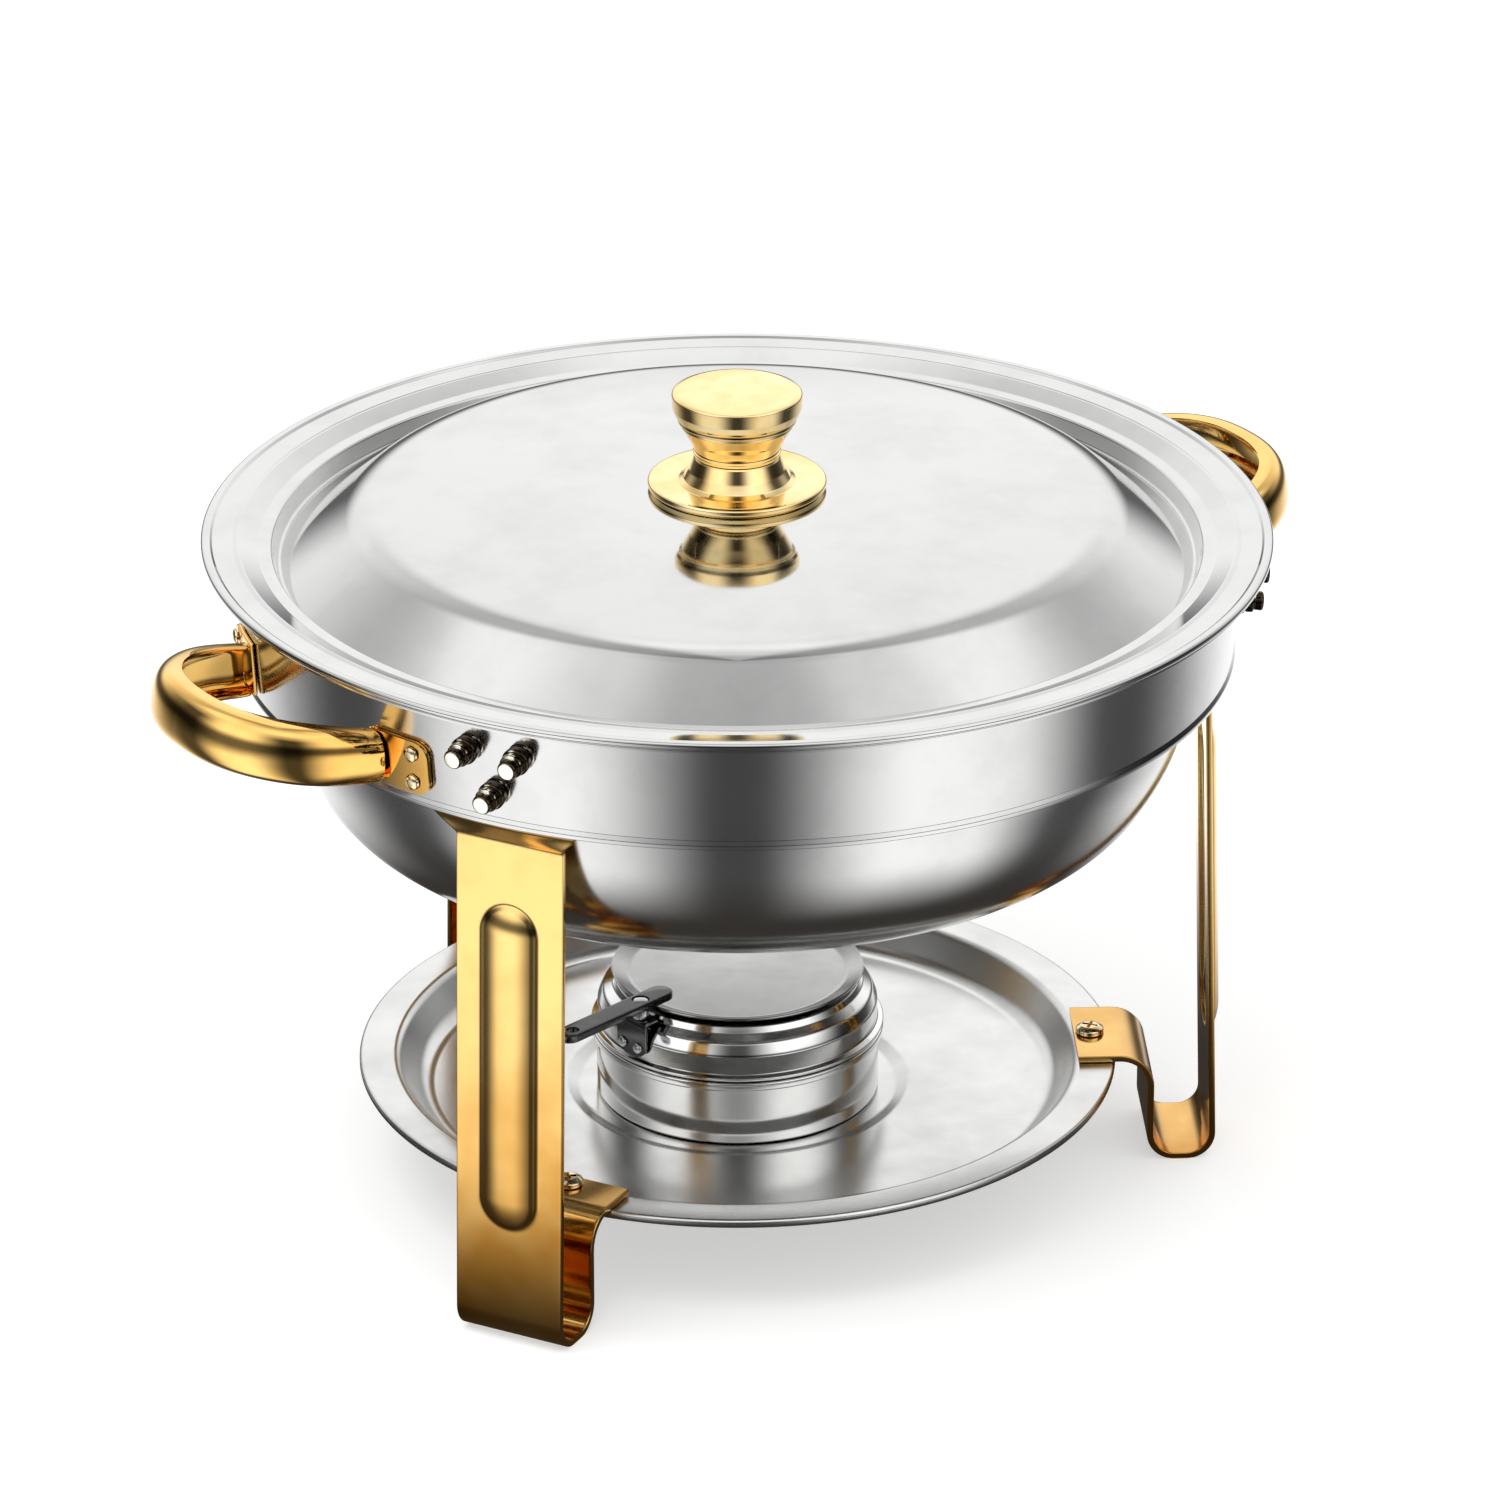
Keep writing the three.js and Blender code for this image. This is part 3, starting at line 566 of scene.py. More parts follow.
STRAP_WIDTH = 36.0
STRAP_HALF_SHEET = 1.0
PLATE = {"width": 48.0, "foot": 173.4, "top": 203.0, "corner": 4.0}
PLATE_FLARE = {"from": 165.5, "over": 8.5}
PLATE_CURVE = {"from": 166.0, "over": 7.0}
CREASE = (145.2, 165.4)
FOOT = {"outer": 150.2, "inner": 130.2, "bend": 8.0}
TAB = {"end": 107.0, "height": 35.8, "bend": 10.0}
RIB = {"half_width": 10.5, "bottom": 38.0, "top": 146.0, "height": 2.9, "foot": 0.22, "roundness": 2.1}
LEG_EDGE = 0.3
LEG_COLUMNS = 49
LEG_RINGS = 480
OUTER_RUN_SHARE = 0.62


def leg_line():
    """Middle line of the leg's sheet, from the plate's top to the tab's end, evenly divided."""
    inset = BAND_SHEET + CLEARANCE + STRAP_HALF_SHEET
    corners = [
        (band_radius(PLATE["top"]) - inset, PLATE["top"]),
        (band_radius(PLATE["foot"]) - inset, PLATE["foot"], 3),
        (*CREASE, 5),
        (FOOT["outer"], STRAP_HALF_SHEET, FOOT["bend"]), (FOOT["inner"], STRAP_HALF_SHEET, FOOT["bend"]),
        (FOOT["inner"], TAB["height"], TAB["bend"]), (TAB["end"], TAB["height"]),
    ]
    return evenly(filleted(corners, 14), LEG_RINGS)[0]


def rib_rise(across, radius, height):
    """How far the pressed rib stands out of the strap's face at a place."""
    if radius < FOOT["outer"] - FOOT["bend"]:
        return 0 * across
    half = RIB["half_width"]
    beyond = max(height - (RIB["top"] - half), (RIB["bottom"] + half) - height, 0)
    inside = np.clip(1 - np.hypot(across, beyond) / half, 0, 1)
    crown = 1 - (1 - inside) ** RIB["roundness"]
    return RIB["height"] * crown * smoothstep(inside / RIB["foot"])


def leg_half_width(height):
    """Half the leg's width at a height on the outer run."""
    plate, strap = PLATE["width"] / 2, STRAP_WIDTH / 2
    corner = PLATE["corner"]
    over = height - (PLATE["top"] - corner)
    if over > 0:
        return plate - corner + math.sqrt(max(corner**2 - over**2, 0))
    return strap + (plate - strap) * fade(height, PLATE_FLARE["from"], PLATE_FLARE["over"])


def leg_ring(index, line, normals):
    """Section of the leg across its width: out along its outer face and back along the inner one."""
    radius, height = line[index]
    outer_run = index < OUTER_RUN_SHARE * len(line)
    half = leg_half_width(height) if outer_run else STRAP_WIDTH / 2
    lip = LEG_EDGE
    flat = np.linspace(-half + lip, half - lip, LEG_COLUMNS)
    bend = np.linspace(0, math.pi / 2, 4)[1:]
    corner = half - lip + lip * np.sin(bend)
    drop = STRAP_HALF_SHEET - lip + lip * np.cos(bend)
    across = np.concatenate([flat, corner, corner[::-1], flat[::-1], -corner, -corner[::-1]])
    level = np.full(LEG_COLUMNS, STRAP_HALF_SHEET)
    face = np.concatenate([level, drop, -drop[::-1], -level, -drop, drop[::-1]])
    rise = rib_rise(across, radius, height) if outer_run else 0 * across
    curve = fade(height, PLATE_CURVE["from"], PLATE_CURVE["over"]) if outer_run else 0.0
    sag = curve * (radius - np.sqrt(radius**2 - across**2))
    out, up = -normals[index]
    thick = face + rise
    return np.stack([radius - sag + out * thick, across, height + up * thick], axis=1)


def make_legs():
    line = leg_line()
    normals = -normals_of(line)
    rings = [leg_ring(index, line, normals) for index in range(len(line))]
    for side, azimuth in LEG_AZIMUTHS.items():
        leg = skin(f"leg_{side}_strap", rings)
        leg.matrix_world = Matrix.Rotation(math.radians(azimuth), 4, "Z")
        finish_piece(leg, LEG_GOLD, "leg_gold", "frame", f"leg_{side}")


# ---- Handles ----------------------------------------------------------------------------------

# Seen from above, the loop is half of a squared oval about the point `start` out from the axis.
HANDLE = {
    "start": 148.0,
    "half_width": 36.5,
    "reach": 191.05,
    "squareness": 2.4,
    "height": 187.0,
    "tilt": 10.5,
}
CHANNEL = {
    "half_height": 9.3,
    "neck_height": 8.5,
    "depth": 8.0,
    "neck_depth": 6.8,
    "sheet": 1.3,
    "opens_over": 0.9,
    "grows_over": 24.0,
}
# How far past the flange's bend the loop hugs the band, and where it takes up its tilt.
HUG_OVER = 12.0
TILT = {"from": -1.5, "over": 8.0}
FLANGE = {"end": 57.3, "half_height": 8.5, "half_sheet": 0.75, "corner": 5.0, "bend": 0.6}
HANDLE_RINGS = 640
HANDLE_RIVETS = {"azimuth": 19.5, "rise": 4.6}


def handle_path():
    """The handle's line seen from above, how far along it each point is, and where the arm begins.

    It runs along one flange, out round the loop and back along the other flange.
    """
    band = band_radius(HANDLE["height"]) + CLEARANCE + FLANGE["half_sheet"]
    start, half_width, reach = HANDLE["start"], HANDLE["half_width"], HANDLE["reach"]
    power = 2 / HANDLE["squareness"]
    angles = np.linspace(math.pi / 2, -math.pi / 2, 181)
    out = start + (reach - start) * np.abs(np.cos(angles)) ** power
    side = half_width * np.sign(np.sin(angles)) * np.abs(np.sin(angles)) ** power
    outside = np.hypot(out, side) > band + 2 * FLANGE["bend"]
    arm = np.stack([out, side], axis=1)[outside]
    foot = (math.sqrt(band**2 - half_width**2), half_width, FLANGE["bend"])
    flange = [
        (math.sqrt(band**2 - y**2), y) for y in np.linspace(FLANGE["end"], half_width + 4, 14)
    ]
    half = [*flange, foot, *[tuple(point) for point in arm[: len(arm) // 2]]]
    line = filleted(half, 8)
    line, along = evenly(np.vstack([line, (line * (1, -1))[::-1]]), HANDLE_RINGS)
    bend_end = next(place for place, point in zip(along, line) if point[0] > foot[0] + FLANGE["bend"])
    return line, along, bend_end


def handle_section(from_end, beyond):
    """Section of the handle as (out, up): a flat flange at its ends, a rounded hollow channel between."""
    fullness = fade(beyond, 0, CHANNEL["opens_over"])
    growth = fade(beyond, 0, CHANNEL["grows_over"])
    angles = np.linspace(-math.pi / 2, math.pi / 2, 25)
    cos, sin = np.cos(angles), np.sin(angles)
    arch = np.stack([np.abs(cos) ** 0.6, np.sign(sin) * np.abs(sin) ** 0.8], axis=1)
    tall = CHANNEL["neck_height"] + (CHANNEL["half_height"] - CHANNEL["neck_height"]) * growth
    deep = CHANNEL["neck_depth"] + (CHANNEL["depth"] - CHANNEL["neck_depth"]) * growth
    wall = CHANNEL["sheet"]
    outer_arch = arch * (deep, tall)
    inner_arch = arch * (deep - wall, tall - wall)
    flat_height = rounded_end(FLANGE["half_height"], FLANGE["corner"], from_end)
    flat = np.stack([0 * sin, np.sign(sin) * np.abs(sin) ** 0.9 * flat_height], axis=1)
    outer_flat = flat + (FLANGE["half_sheet"], 0)
    inner_flat = flat * (1, 0.985) - (FLANGE["half_sheet"], 0)
    outer = outer_flat + (outer_arch - outer_flat) * fullness
    inner = (inner_flat + (inner_arch - inner_flat) * fullness)[::-1]
    return np.vstack([outer, edge_round(outer[-1], inner[0]), inner, edge_round(inner[-1], outer[0])])


def handle_ring(place, out, from_end, bend_end):
    """The section in its place: upright and close to the band at the flange, tipped up further out."""
    beyond = from_end - bend_end
    section = handle_section(from_end, beyond)
    level = np.column_stack([place + section[:, :1] * out, section[:, 1]])
    if beyond > 0:
        band = band_radius(HANDLE["height"])
        gap = math.sqrt(band**2 - HANDLE["half_width"] ** 2) - np.sqrt(band**2 - level[:, 1] ** 2)
        level[:, 0] -= gap * (1 - fade(beyond, 0, HUG_OVER))
    upright = level.copy()
    upright[:, 0] += level[:, 2] * math.tan(math.radians(BAND_LEAN))
    upright[:, 2] += HANDLE["height"]
    return upright + (tilt_handle(level) - upright) * fade(beyond, TILT["from"], TILT["over"])


def tilt_handle(points):
    """Tips the loop up about the band and lifts it to its height."""
    pivot = band_radius(HANDLE["height"])
    angle = math.radians(HANDLE["tilt"])
    out, up = points[:, 0] - pivot, points[:, 2]
    x = pivot + out * math.cos(angle) - up * math.sin(angle)
    z = HANDLE["height"] + out * math.sin(angle) + up * math.cos(angle)
    return np.column_stack([x, points[:, 1], z])


def make_handles():
    line, along, bend_end = handle_path()
    length = along[-1]
    outs = normals_of(line)
    rings = [
        handle_ring(line[index], outs[index], min(along[index], length - along[index]), bend_end)
        for index in range(len(line))
    ]
    for side, azimuth in HANDLE_AZIMUTHS.items():
        handle = skin(f"handle_{side}_loop", rings)
        handle.matrix_world = Matrix.Rotation(math.radians(azimuth), 4, "Z")
        finish_piece(handle, HANDLE_GOLD, "handle_gold", "frame", f"handle_{side}")


# ---- Fasteners --------------------------------------------------------------------------------

# Each bolt of a leg as (distance sideways, height).
LEG_BOLTS = {"upper_left": (-8.5, 198.2), "upper_right": (8.5, 198.2), "lower": (0.0, 185.2)}
TRAY_SCREW = {"reach": 112.0, "first_turn": 18.0, "next_turn": 25.0}
TRAY_NUT_TOP = 33.2


def make_leg_fasteners():
    """Cap nuts on the band's outside, and the heads of their bolts against the leg's plate."""
    nut = filleted(
        [
            (0, 5.5), (2, 5.5), (2, 0.3), (4.3, 0.3, 0.8), (4.3, 3.4, 1.5), (3.2, 3.7, 0.3), (3.7, 4.1, 0.8),
            (3.7, 6.1, 1), (2.9, 6.4, 0.3), (3.1, 9.3, 0.9), (0, 9.5),
        ],
        12,
    )
    head = -(BAND_SHEET + 2 * CLEARANCE + 2 * STRAP_HALF_SHEET)
    bolt = filleted(
        [
            (0, head - 1.7), (1.6, head - 1.65, 1), (3.1, head - 0.6, 0.5), (3.2, head, 0.1),
            (1.7, head), (1.7, 5), (0, 5),
        ],
        4,
    )
    for side, leg_azimuth in LEG_AZIMUTHS.items():
        for place, (sideways, height) in LEG_BOLTS.items():
            radius = band_radius(height)
            azimuth = leg_azimuth + math.degrees(math.asin(sideways / radius))
            cap = lathe(f"leg_{side}_nut_{place}", nut, 40, closed=False, sharp_degrees=40)
            stand_out(cap, azimuth, radius, height, BAND_LEAN)
            finish_piece(cap, CAP_NUT_GOLD, "stud_gold", "frame", f"leg_{side}_cap_nut_{place}")
            shank = lathe(f"leg_{side}_stud_{place}", bolt, 32, closed=False, sharp_degrees=40)
            stand_out(shank, azimuth, radius, height, BAND_LEAN)
            finish_piece(shank, FASTENER_STEEL, "fastener_steel", "frame", f"leg_{side}_bolt_{place}")


def make_handle_rivets():
    head, tail = 2.1, -(BAND_SHEET + CLEARANCE)
    rivet = filleted(
        [
            (0, tail - 0.8), (2.1, tail - 0.7, 0.4), (2.2, tail, 0.1), (1.3, tail), (1.3, head),
            (2.6, head, 0.1), (2.35, head + 0.75, 0.8), (1.2, head + 1.25, 1.2), (0, head + 1.3),
        ],
        5,
    )
    rise, turn = HANDLE_RIVETS["rise"], HANDLE_RIVETS["azimuth"]
    for side, handle_azimuth in HANDLE_AZIMUTHS.items():
        places = [(sign * turn, lift) for sign in (-1, 1) for lift in (-rise, rise)]
        for index, (offset, lift) in enumerate(places, 1):
            height = HANDLE["height"] + lift
            piece = lathe(f"handle_{side}_stud_{index}", rivet, 36, closed=False, sharp_degrees=40)
            stand_out(piece, handle_azimuth + offset, band_radius(height), height, BAND_LEAN)
            finish_piece(piece, STUD_GOLD, "stud_gold", "frame", f"handle_{side}_rivet_{index}")


def make_tray_fasteners():
    """Cross-slotted pan-head screws through the leg tabs, and hexagon nuts under the tray."""
    head = TAB["height"] + STRAP_HALF_SHEET + CLEARANCE
    screw = filleted(
        [
            (0, head - 8.2), (1.6, head - 8.2, 0.3), (1.8, head - 7.8), (1.8, head), (4.6, head, 0.15),
            (4.45, head + 1.3, 0.8), (2.8, head + 2.3, 2), (0, head + 2.5),
        ],
        6,
    )
    top = TRAY_NUT_TOP
    nut = [(2.1, top - 3), (3.6, top - 3), (4, top - 2.7), (4, top), (2.1, top)]
    for index, (side, azimuth) in enumerate(LEG_AZIMUTHS.items()):
        angle = math.radians(azimuth)
        place = Vector((math.cos(angle), math.sin(angle), 0)) * TRAY_SCREW["reach"] * MM
        piece = lathe(f"tray_bolt_{side}", screw, 40, closed=False, sharp_degrees=40)
        slots = (block((5, 1.1, 3), (0, 0, head + 2.4)), block((1.1, 5, 3), (0, 0, head + 2.4)))
        cut_away(piece, *slots)
        slot_turn = TRAY_SCREW["first_turn"] + TRAY_SCREW["next_turn"] * index
        turn = Matrix.Rotation(math.radians(azimuth + slot_turn), 4, "Z")
        piece.matrix_world = Matrix.Translation(place) @ turn
        finish_piece(piece, STUD_GOLD, "stud_gold", "frame", f"tray_screw_{side}")
        hexagon = lathe(f"tray_hexagon_{side}", nut, 6)
        hexagon.matrix_world = Matrix.Translation(place) @ turn
        finish_piece(hexagon, FASTENER_STEEL, "fastener_steel", "frame", f"tray_nut_{side}")


# ---- Burner -----------------------------------------------------------------------------------

BURNER_BASE = 22.1


def make_burner_cup():
    base = BURNER_BASE
    cup = filleted(
        [
            (0, base), (44.6, base, 0.9), (44.6, 40.8, 0.6), (46.2, 41.5, 0.5), (46.2, 43.8, 0.7),
            (44.2, 44.2, 0.5), (43.6, 43.2, 0.5), (43.6, base + 1, 0.6), (0, base + 1),
        ]
    )
    cup = lathe("burner_cup_shell", cup, 180, closed=False)
    finish_piece(cup, BURNER_STEEL, "burner_steel", "burner_cup", "burner_cup")


def make_burner_cap():
    """The burner's upper ring: a skirt inside the cup, a shoulder, and a lip round the flame opening."""
    cap = filleted(
        [
            (42.4, 38.5), (42.9, 38.6, 0.2), (42.9, 44.5, 0.3), (46.1, 44.5, 0.5), (46.3, 45.6, 0.5),
            (44.3, 46, 0.5), (44.3, 52.4, 3.5), (42.6, 56.2, 2.5), (39.6, 58, 1.2), (38.6, 60, 0.4),
            (30, 60, 0.4), (30, 59.1, 0.4), (37.8, 59.1, 0.3), (38.6, 57.6, 0.8), (41.8, 55.6, 2),
            (43.4, 52.2, 3), (43.4, 46.2, 0.4), (42, 45.3, 0.4), (42, 38.6, 0.2), (42.4, 38.5),
        ]
    )
    cap = lathe("burner_cap_shell", cap, 180, closed=False)
    finish_piece(cap, BURNER_STEEL, "burner_steel", "burner_cap", "burner_cap")


# ---- Damper -----------------------------------------------------------------------------------

LEVER = {
    "azimuth": 193.5,
    "from": 31.0,
    "to": 79.0,
    "width": 8.0,
    "bottom": 63.7,
    "thickness": 2.5,
    "eye": 73.5,
    "eye_radius": 2.1,
    "edge": 0.6,
}
PIVOT = {"reach": 43.6, "bore": 1.6, "seat_radius": 2.8, "seat_depth": 1.25}
BRACKET = {
    "azimuth": 191.0,
    "width": 13.0,
    "bottom": 47.2,
    "shelf": 58.4,
    "sheet": 1.4,
    "wall": 44.7,
    "lip": 40.6,
    "corner": 4.5,
    "edge": 0.3,
}
BRACKET_RINGS = 60
BRACKET_RIVETS = {"turn": 4.2, "height": 50.6}


def make_damper_disc():
    face = filleted([(39.5, 63.4), (34.5, 61.3, 5), (0, 61.3)], 8)
    disc = lathe("damper_dish", sheet_loop(face, 0.9), 180)
    finish_piece(disc, DISC_STEEL, "burner_steel", "damper", "damper_disc")


def make_lever():
    """A flat bar with round ends, an eye at its far end and a sunk seat for the pivot's head."""
    half = LEVER["width"] / 2
    first, last = LEVER["from"] + half, LEVER["to"] - half
    rings = []
    edge = LEVER["edge"]
    steps = np.linspace(0, math.pi / 2, 5)
    low, high = LEVER["bottom"], LEVER["bottom"] + LEVER["thickness"]
    levels = [(edge * (1 - math.sin(a)), low + edge * (1 - math.cos(a))) for a in steps]
    levels += [(edge * (1 - math.cos(a)), high - edge * (1 - math.sin(a))) for a in steps]
    for inset, height in levels:
        radius = half - inset
        angles = np.linspace(math.pi / 2, 3 * math.pi / 2, 20)
        inner = [(first + radius * math.cos(a), radius * math.sin(a), height) for a in angles]
        outer = [(last - radius * math.cos(a), -radius * math.sin(a), height) for a in angles]
        rings.append(inner + outer)
    lever = skin("damper_bar", rings, sharp_degrees=40)
    eye = drill(LEVER["eye"], LEVER["eye_radius"], low - 1, high + 1, 40)
    seat = drill(PIVOT["reach"], PIVOT["seat_radius"], high - PIVOT["seat_depth"], high + 1, 32)
    bore = drill(PIVOT["reach"], PIVOT["bore"], low - 1, high + 1, 32)
    cut_away(lever, eye, seat, bore)
    lever.matrix_world = Matrix.Rotation(math.radians(LEVER["azimuth"]), 4, "Z")
    finish_piece(lever, DAMPER_STEEL, "damper_steel", "damper", "damper_lever")


def make_pivot():
    shelf_top = BRACKET["shelf"] + BRACKET["sheet"] + CLEARANCE
    lever_bottom = LEVER["bottom"] - CLEARANCE
    seat = LEVER["bottom"] + LEVER["thickness"] - PIVOT["seat_depth"] + CLEARANCE
    tail = BRACKET["shelf"] - CLEARANCE
    pivot = filleted(
        [
            (0, tail - 0.5), (1.2, tail - 0.4, 0.3), (1.3, tail), (1.3, shelf_top), (2.5, shelf_top, 0.2),
            (2.5, lever_bottom, 0.2), (1.3, lever_bottom), (1.3, seat), (2.5, seat, 0.2),
            (2.45, seat + 0.7, 0.4), (0, seat + 0.9),
        ],
        4,
    )
    angle = math.radians(LEVER["azimuth"])
    piece = lathe("damper_pin", pivot, 32, closed=False, sharp_degrees=40)
    place = Vector((math.cos(angle), math.sin(angle), 0)) * PIVOT["reach"] * MM
    piece.matrix_world = Matrix.Translation(place)
    finish_piece(piece, FASTENER_STEEL, "fastener_steel", "burner_cap", "damper_pivot")


def make_bracket():
    """A bent plate with round lower corners."""
    sheet = BRACKET["sheet"]
    wall, top = BRACKET["wall"] + sheet / 2, BRACKET["shelf"] + sheet / 2
    line = filleted([(BRACKET["lip"], top), (wall, top, 1.2), (wall, BRACKET["bottom"])], 8)
    line, along = evenly(line, BRACKET_RINGS)
    normals = normals_of(line)
    edge = BRACKET["edge"]
    bend = np.linspace(0, math.pi, 5)
    thick = np.concatenate([np.cos(bend), -np.cos(bend)]) * sheet / 2
    rings = []
    for place, out, from_end in zip(line, normals, along[-1] - along):
        half = rounded_end(BRACKET["width"] / 2, BRACKET["corner"], from_end)
        across = np.concatenate([half - edge + edge * np.sin(bend), -half + edge - edge * np.sin(bend)])
        ring = np.stack([place[0] + out[0] * thick, across, place[1] + out[1] * thick], axis=1)
        rings.append(ring)
    bracket = skin("damper_plate", rings, sharp_degrees=40)
    bracket.matrix_world = Matrix.Rotation(math.radians(BRACKET["azimuth"]), 4, "Z")
    finish_piece(bracket, DAMPER_STEEL, "damper_steel", "burner_cap", "damper_bracket")


def make_bracket_rivets():
    outside = BRACKET["sheet"] + CLEARANCE
    rivet = filleted(
        [
            (0, -2.4), (1.7, -2.4, 0.3), (1.7, -1.7), (0.9, -1.7), (0.9, outside), (1.8, outside, 0.1),
            (1.6, outside + 0.6, 0.5), (0, outside + 1),
        ],
        4,
    )
    for index, side in enumerate((-1, 1), 1):
        azimuth = BRACKET["azimuth"] + side * BRACKET_RIVETS["turn"]
        piece = lathe(f"bracket_stud_{index}", rivet, 32, closed=False, sharp_degrees=40)
        stand_out(piece, azimuth, BRACKET["wall"], BRACKET_RIVETS["height"])
        finish_piece(piece, FASTENER_STEEL, "fastener_steel", "burner_cap", f"bracket_rivet_{index}")


# ---- Floor, light and camera ------------------------------------------------------------------

# The camera's place in metres, its angles in degrees and its lens in millimetres. Its azimuth is seen
# from the object, and `turn` is how far to the left of the object's axis it aims.
CAMERA = {
    "azimuth": -122.6,
    "distance": 2.22796,
    "height": 1.13814,
    "turn": -0.102,
    "dip": 24.143,
    "lens": 187.94,
}
KEY_LAMP = {"power": 20.0, "size": 1.6, "place": (-0.9, -0.2, 2.2), "aim": (0, 0, 0.1)}
FLOOR_REACH = 6000.0
DOME_RADIUS = 3.0
WORLD_STRENGTH = 0.88
FLOOR_GLOW = 0.52
# Brightness of the studio as the metal sees it, as (degrees, grey) stops. LOW_LIGHT is for directions
# below CROSSOVER and HIGH_LIGHT for those above it, and they blend within it. LOW_LIGHT runs round
# from the camera's side (0) to the far side (180), and so does SIDE_LIGHT, which dims HIGH_LIGHT.
# HIGH_LIGHT runs from level (0) to straight up (90). HORIZON_LIGHT dims both lights near the horizon,
# and runs from straight down (0) to straight up (180).
LOW_LIGHT = (
    (0, 0.05), (4, 0.05), (42, 0.97), (60, 0.93), (93, 0.06), (102, 0.06), (152, 0.8), (180, 0.88),
)
HIGH_LIGHT = ((0, 0.8), (40, 0.8), (60, 0.92), (74, 0.68), (83, 0.44), (90, 0.38))
SIDE_LIGHT = ((0, 1.0), (112, 1.0), (134, 0.5), (154, 0.5), (172, 1.0), (180, 1.0))
HORIZON_LIGHT = ((0, 1.0), (76, 1.0), (89, 0.12), (94, 0.12), (110, 1.0), (180, 1.0))
CROSSOVER = (28, 52)
# A direction that goes down steeply is read as nearer the camera's side than it is. STEEP_SQUEEZE is
# the factor, which holds below STEEP's first rise and fades out towards the second.
STEEP = (-60, -34)
STEEP_SQUEEZE = 0.8
DOME_GAIN = 1.5
SHADE = {"radius": 290.0, "dark_to": 155.0, "height": 0.4}


def grey_ramp(shader, value, stops):
    """A smooth grey ramp whose stops are (place from 0 to 1, brightness)."""
    ramp = shader.add("ShaderNodeValToRGB", {"Fac": value})
    ramp.color_ramp.interpolation = "EASE"
    elements = ramp.color_ramp.elements
    for index, (place, grey) in enumerate(stops):
        element = elements[index] if index < 2 else elements.new(place)
        element.position = place
        element.color = (grey, grey, grey, 1)
    return ramp.outputs[0]


def studio_material():
    """Soft light and shade round the studio, brighter and darker by direction."""
    shader = Shader("studio", (0, 0, 0), 1.0, 0.0)
    direction = shader.add("ShaderNodeVectorMath", {0: shader.place}, operation="NORMALIZE").outputs[0]
    parts = shader.add("ShaderNodeSeparateXYZ", {0: direction}).outputs
    turn = shader.add("ShaderNodeMath", {0: parts[1], 1: parts[0]}, operation="ARCTAN2").outputs[0]
    turn = shader.add("ShaderNodeMath", {0: turn}, operation="ABSOLUTE").outputs[0]
    rise = shader.add("ShaderNodeMath", {0: parts[2]}, operation="ARCSINE").outputs[0]
    squeeze = shader.spread(rise, math.radians(STEEP[0]), math.radians(STEEP[1]), STEEP_SQUEEZE, 1)
    turn = shader.add("ShaderNodeMath", {0: turn, 1: squeeze}, operation="MULTIPLY").outputs[0]
    around = shader.spread(turn, 0, math.pi, 0, 1)
    above = shader.spread(rise, 0, math.pi / 2, 0, 1)
    low = grey_ramp(shader, around, [(angle / 180, grey) for angle, grey in LOW_LIGHT])
    high = grey_ramp(shader, above, [(angle / 90, grey) for angle, grey in HIGH_LIGHT])
    side = grey_ramp(shader, around, [(angle / 180, grey) for angle, grey in SIDE_LIGHT])
    high = shader.add("ShaderNodeVectorMath", {0: high, 1: side}, operation="MULTIPLY").outputs[0]
    whole = shader.spread(rise, -math.pi / 2, math.pi / 2, 0, 1)
    horizon = grey_ramp(shader, whole, [(angle / 180, grey) for angle, grey in HORIZON_LIGHT])
    share = shader.spread(rise, math.radians(CROSSOVER[0]), math.radians(CROSSOVER[1]), 0, 1)
    # The colours of a Mix node are its inputs 6 and 7 and its output 2.
    mixed = shader.add("ShaderNodeMix", {0: share, 6: low, 7: high}, data_type="RGBA").outputs[2]
    dimmed = shader.add("ShaderNodeVectorMath", {0: mixed, 1: horizon}, operation="MULTIPLY").outputs[0]
    glow = shader.add("ShaderNodeEmission", {"Color": dimmed, "Strength": DOME_GAIN})
    shader.show(glow.outputs[0])
    return shader.material


def make_dome():
    """A light tent that only shows as a reflection. Its X axis points to the camera's side."""
    body = bmesh.new()
    bmesh.ops.create_uvsphere(body, u_segments=64, v_segments=32, radius=DOME_RADIUS)
    mesh = bpy.data.meshes.new("light_tent")
    body.to_mesh(mesh)
    body.free()
    tent = bpy.data.objects.new("light_tent", mesh)
    tent.rotation_euler = (0, 0, math.radians(CAMERA["azimuth"]))
    bpy.context.scene.collection.objects.link(tent)
    mesh.materials.append(studio_material())
    hide_but_reflect(tent)


def hide_but_reflect(piece):
    """Leaves a studio piece to show in the metal only."""
    piece.visible_camera = False
    piece.visible_diffuse = False
    piece.visible_shadow = False
    piece.visible_transmission = False


def make_shade():
    """The dark patch of floor under the object, as its own metal sees it."""
    loop = [(0, SHADE["height"]), (SHADE["radius"], SHADE["height"])]
    patch = lathe("floor_shade", loop, 96, closed=False)
    shader = Shader("shade", (0, 0, 0), 1.0, 0.0)
    reach = shader.add("ShaderNodeVectorMath", {0: shader.place}, operation="LENGTH").outputs["Value"]
    clear = shader.add(
        "ShaderNodeMapRange",
        {"Value": reach, "From Min": SHADE["dark_to"] * MM, "From Max": SHADE["radius"] * MM},
        interpolation_type="SMOOTHSTEP",
    ).outputs[0]
    dark = shader.add("ShaderNodeEmission", {"Color": (0.05, 0.045, 0.04, 1), "Strength": 1.0})
    through = shader.add("ShaderNodeBsdfTransparent")
    mix = shader.add("ShaderNodeMixShader", {0: clear, 1: dark.outputs[0], 2: through.outputs[0]})
    shader.show(mix.outputs[0])
    patch.data.materials.append(shader.material)
    hide_but_reflect(patch)


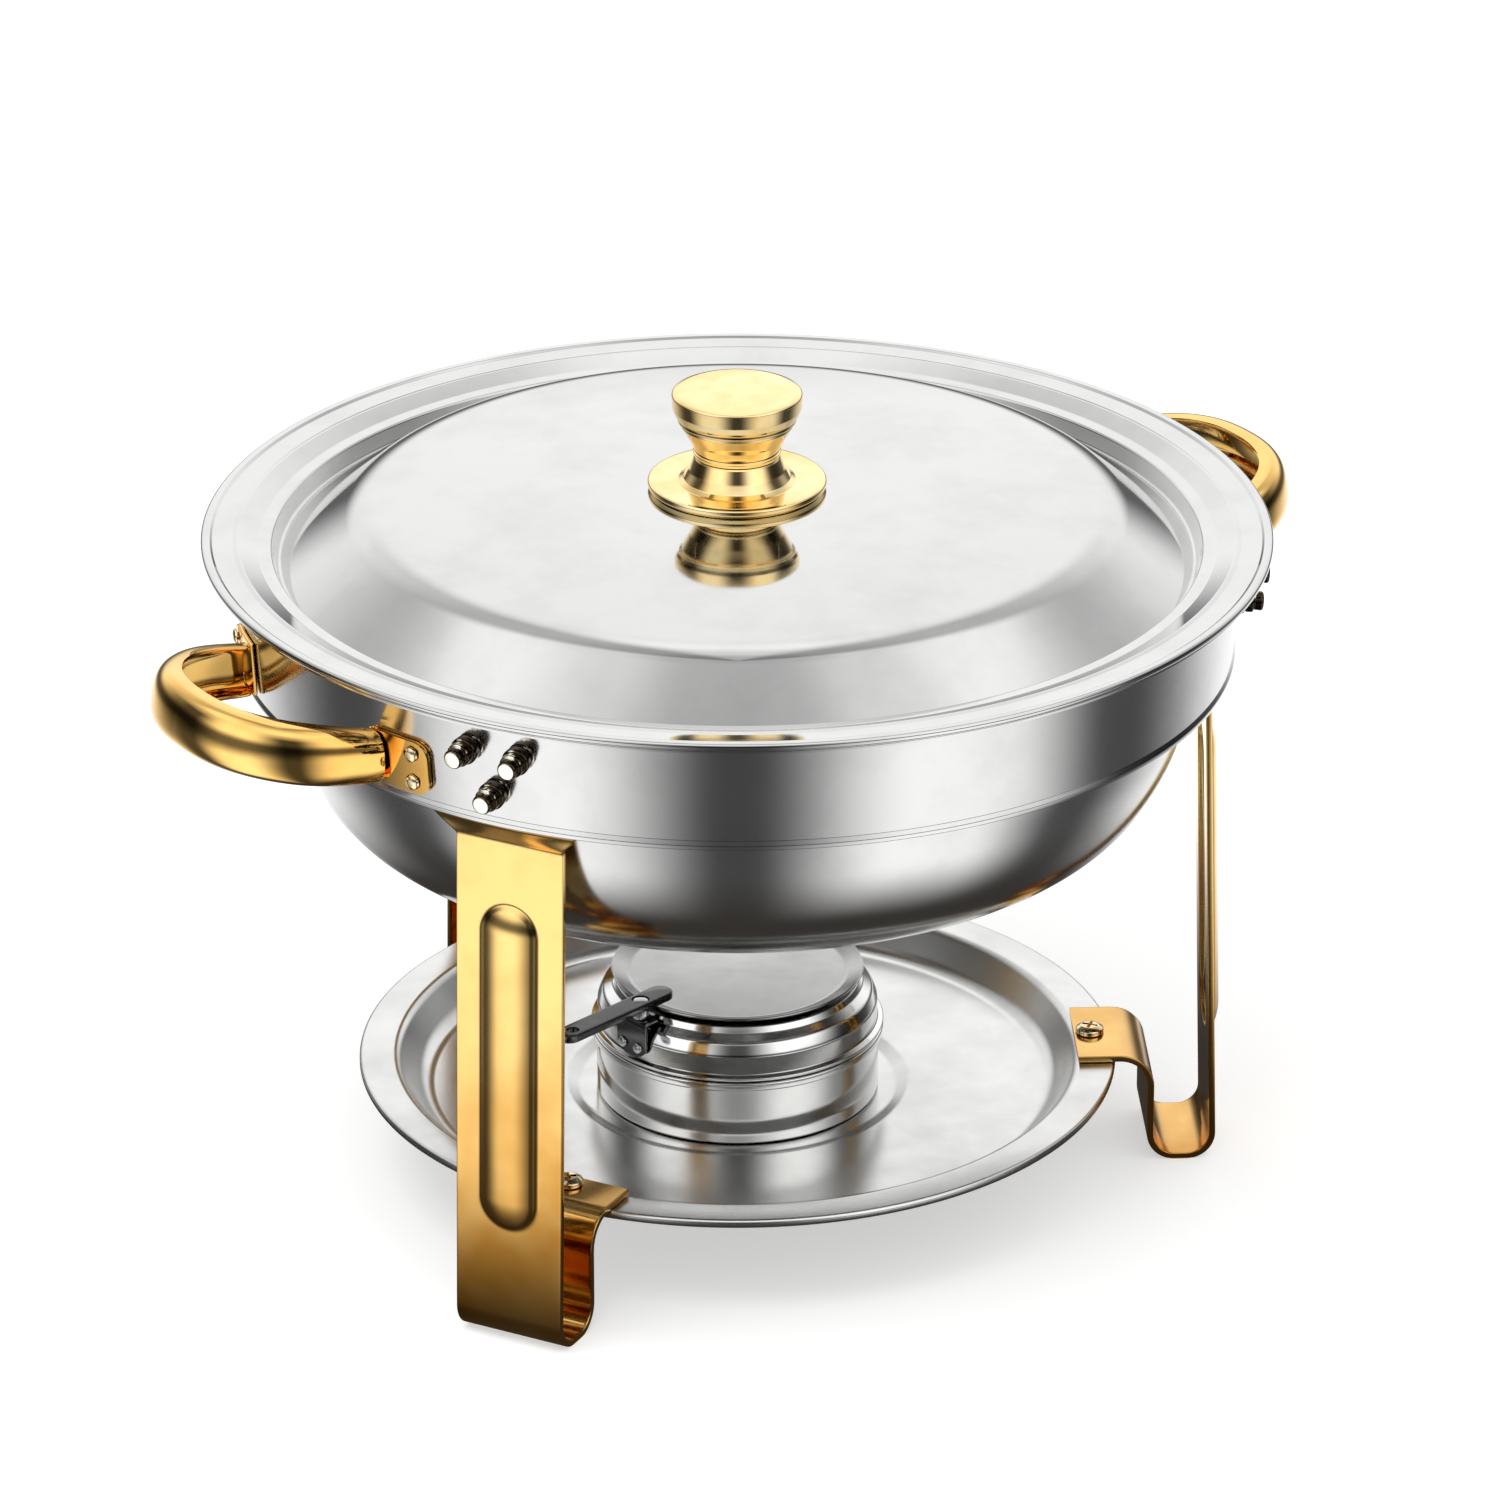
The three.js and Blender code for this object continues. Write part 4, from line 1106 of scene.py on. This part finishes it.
def make_floor():
    reach = FLOOR_REACH
    corners = [(-reach, -reach, 0), (reach, -reach, 0), (reach, reach, 0), (-reach, reach, 0)]
    floor = mesh_object("floor", corners, [(0, 1, 2, 3)])
    paper = Shader("paper", (0.70, 0.70, 0.695), 0.8, 0.0)
    paper.set("Emission Color", (1, 1, 0.99, 1))
    paper.set("Emission Strength", FLOOR_GLOW)
    floor.data.materials.append(paper.material)
    floor.visible_glossy = False


def make_light():
    world = bpy.data.worlds.new("studio")
    world.use_nodes = True
    world.node_tree.nodes["Background"].inputs["Color"].default_value = (1, 1, 1, 1)
    world.node_tree.nodes["Background"].inputs["Strength"].default_value = WORLD_STRENGTH
    bpy.context.scene.world = world
    bpy.context.scene.view_settings.view_transform = "Standard"
    lamp = bpy.data.lights.new("key", "AREA")
    lamp.shape = "DISK"
    lamp.size = KEY_LAMP["size"]
    lamp.energy = KEY_LAMP["power"]
    key = bpy.data.objects.new("key", lamp)
    key.location = KEY_LAMP["place"]
    aim = Vector(KEY_LAMP["aim"]) - key.location
    key.rotation_euler = aim.to_track_quat("-Z", "Y").to_euler()
    key.visible_glossy = False
    bpy.context.scene.collection.objects.link(key)


def make_camera():
    angle = math.radians(CAMERA["azimuth"])
    camera = bpy.data.objects.new("camera", bpy.data.cameras.new("camera"))
    distance = CAMERA["distance"]
    camera.location = (distance * math.cos(angle), distance * math.sin(angle), CAMERA["height"])
    heading = math.radians(CAMERA["azimuth"] + 180 + CAMERA["turn"])
    down = math.radians(CAMERA["dip"])
    ahead = Vector((math.cos(heading) * math.cos(down), math.sin(heading) * math.cos(down), -math.sin(down)))
    camera.rotation_euler = ahead.to_track_quat("-Z", "Y").to_euler()
    camera.data.sensor_width = 36
    camera.data.sensor_fit = "HORIZONTAL"
    camera.data.lens = CAMERA["lens"]
    camera.data.clip_end = 30
    bpy.context.scene.collection.objects.link(camera)
    bpy.context.scene.camera = camera


make_lid()
make_knob_base()
make_knob_grip()
make_knob_washer()
make_knob_screw()
make_food_pan()
make_water_pan()
make_band()
make_tray()
make_legs()
make_handles()
make_leg_fasteners()
make_handle_rivets()
make_tray_fasteners()
make_burner_cup()
make_burner_cap()
make_damper_disc()
make_lever()
make_pivot()
make_bracket()
make_bracket_rivets()
make_floor()
make_shade()
make_dome()
make_light()
make_camera()
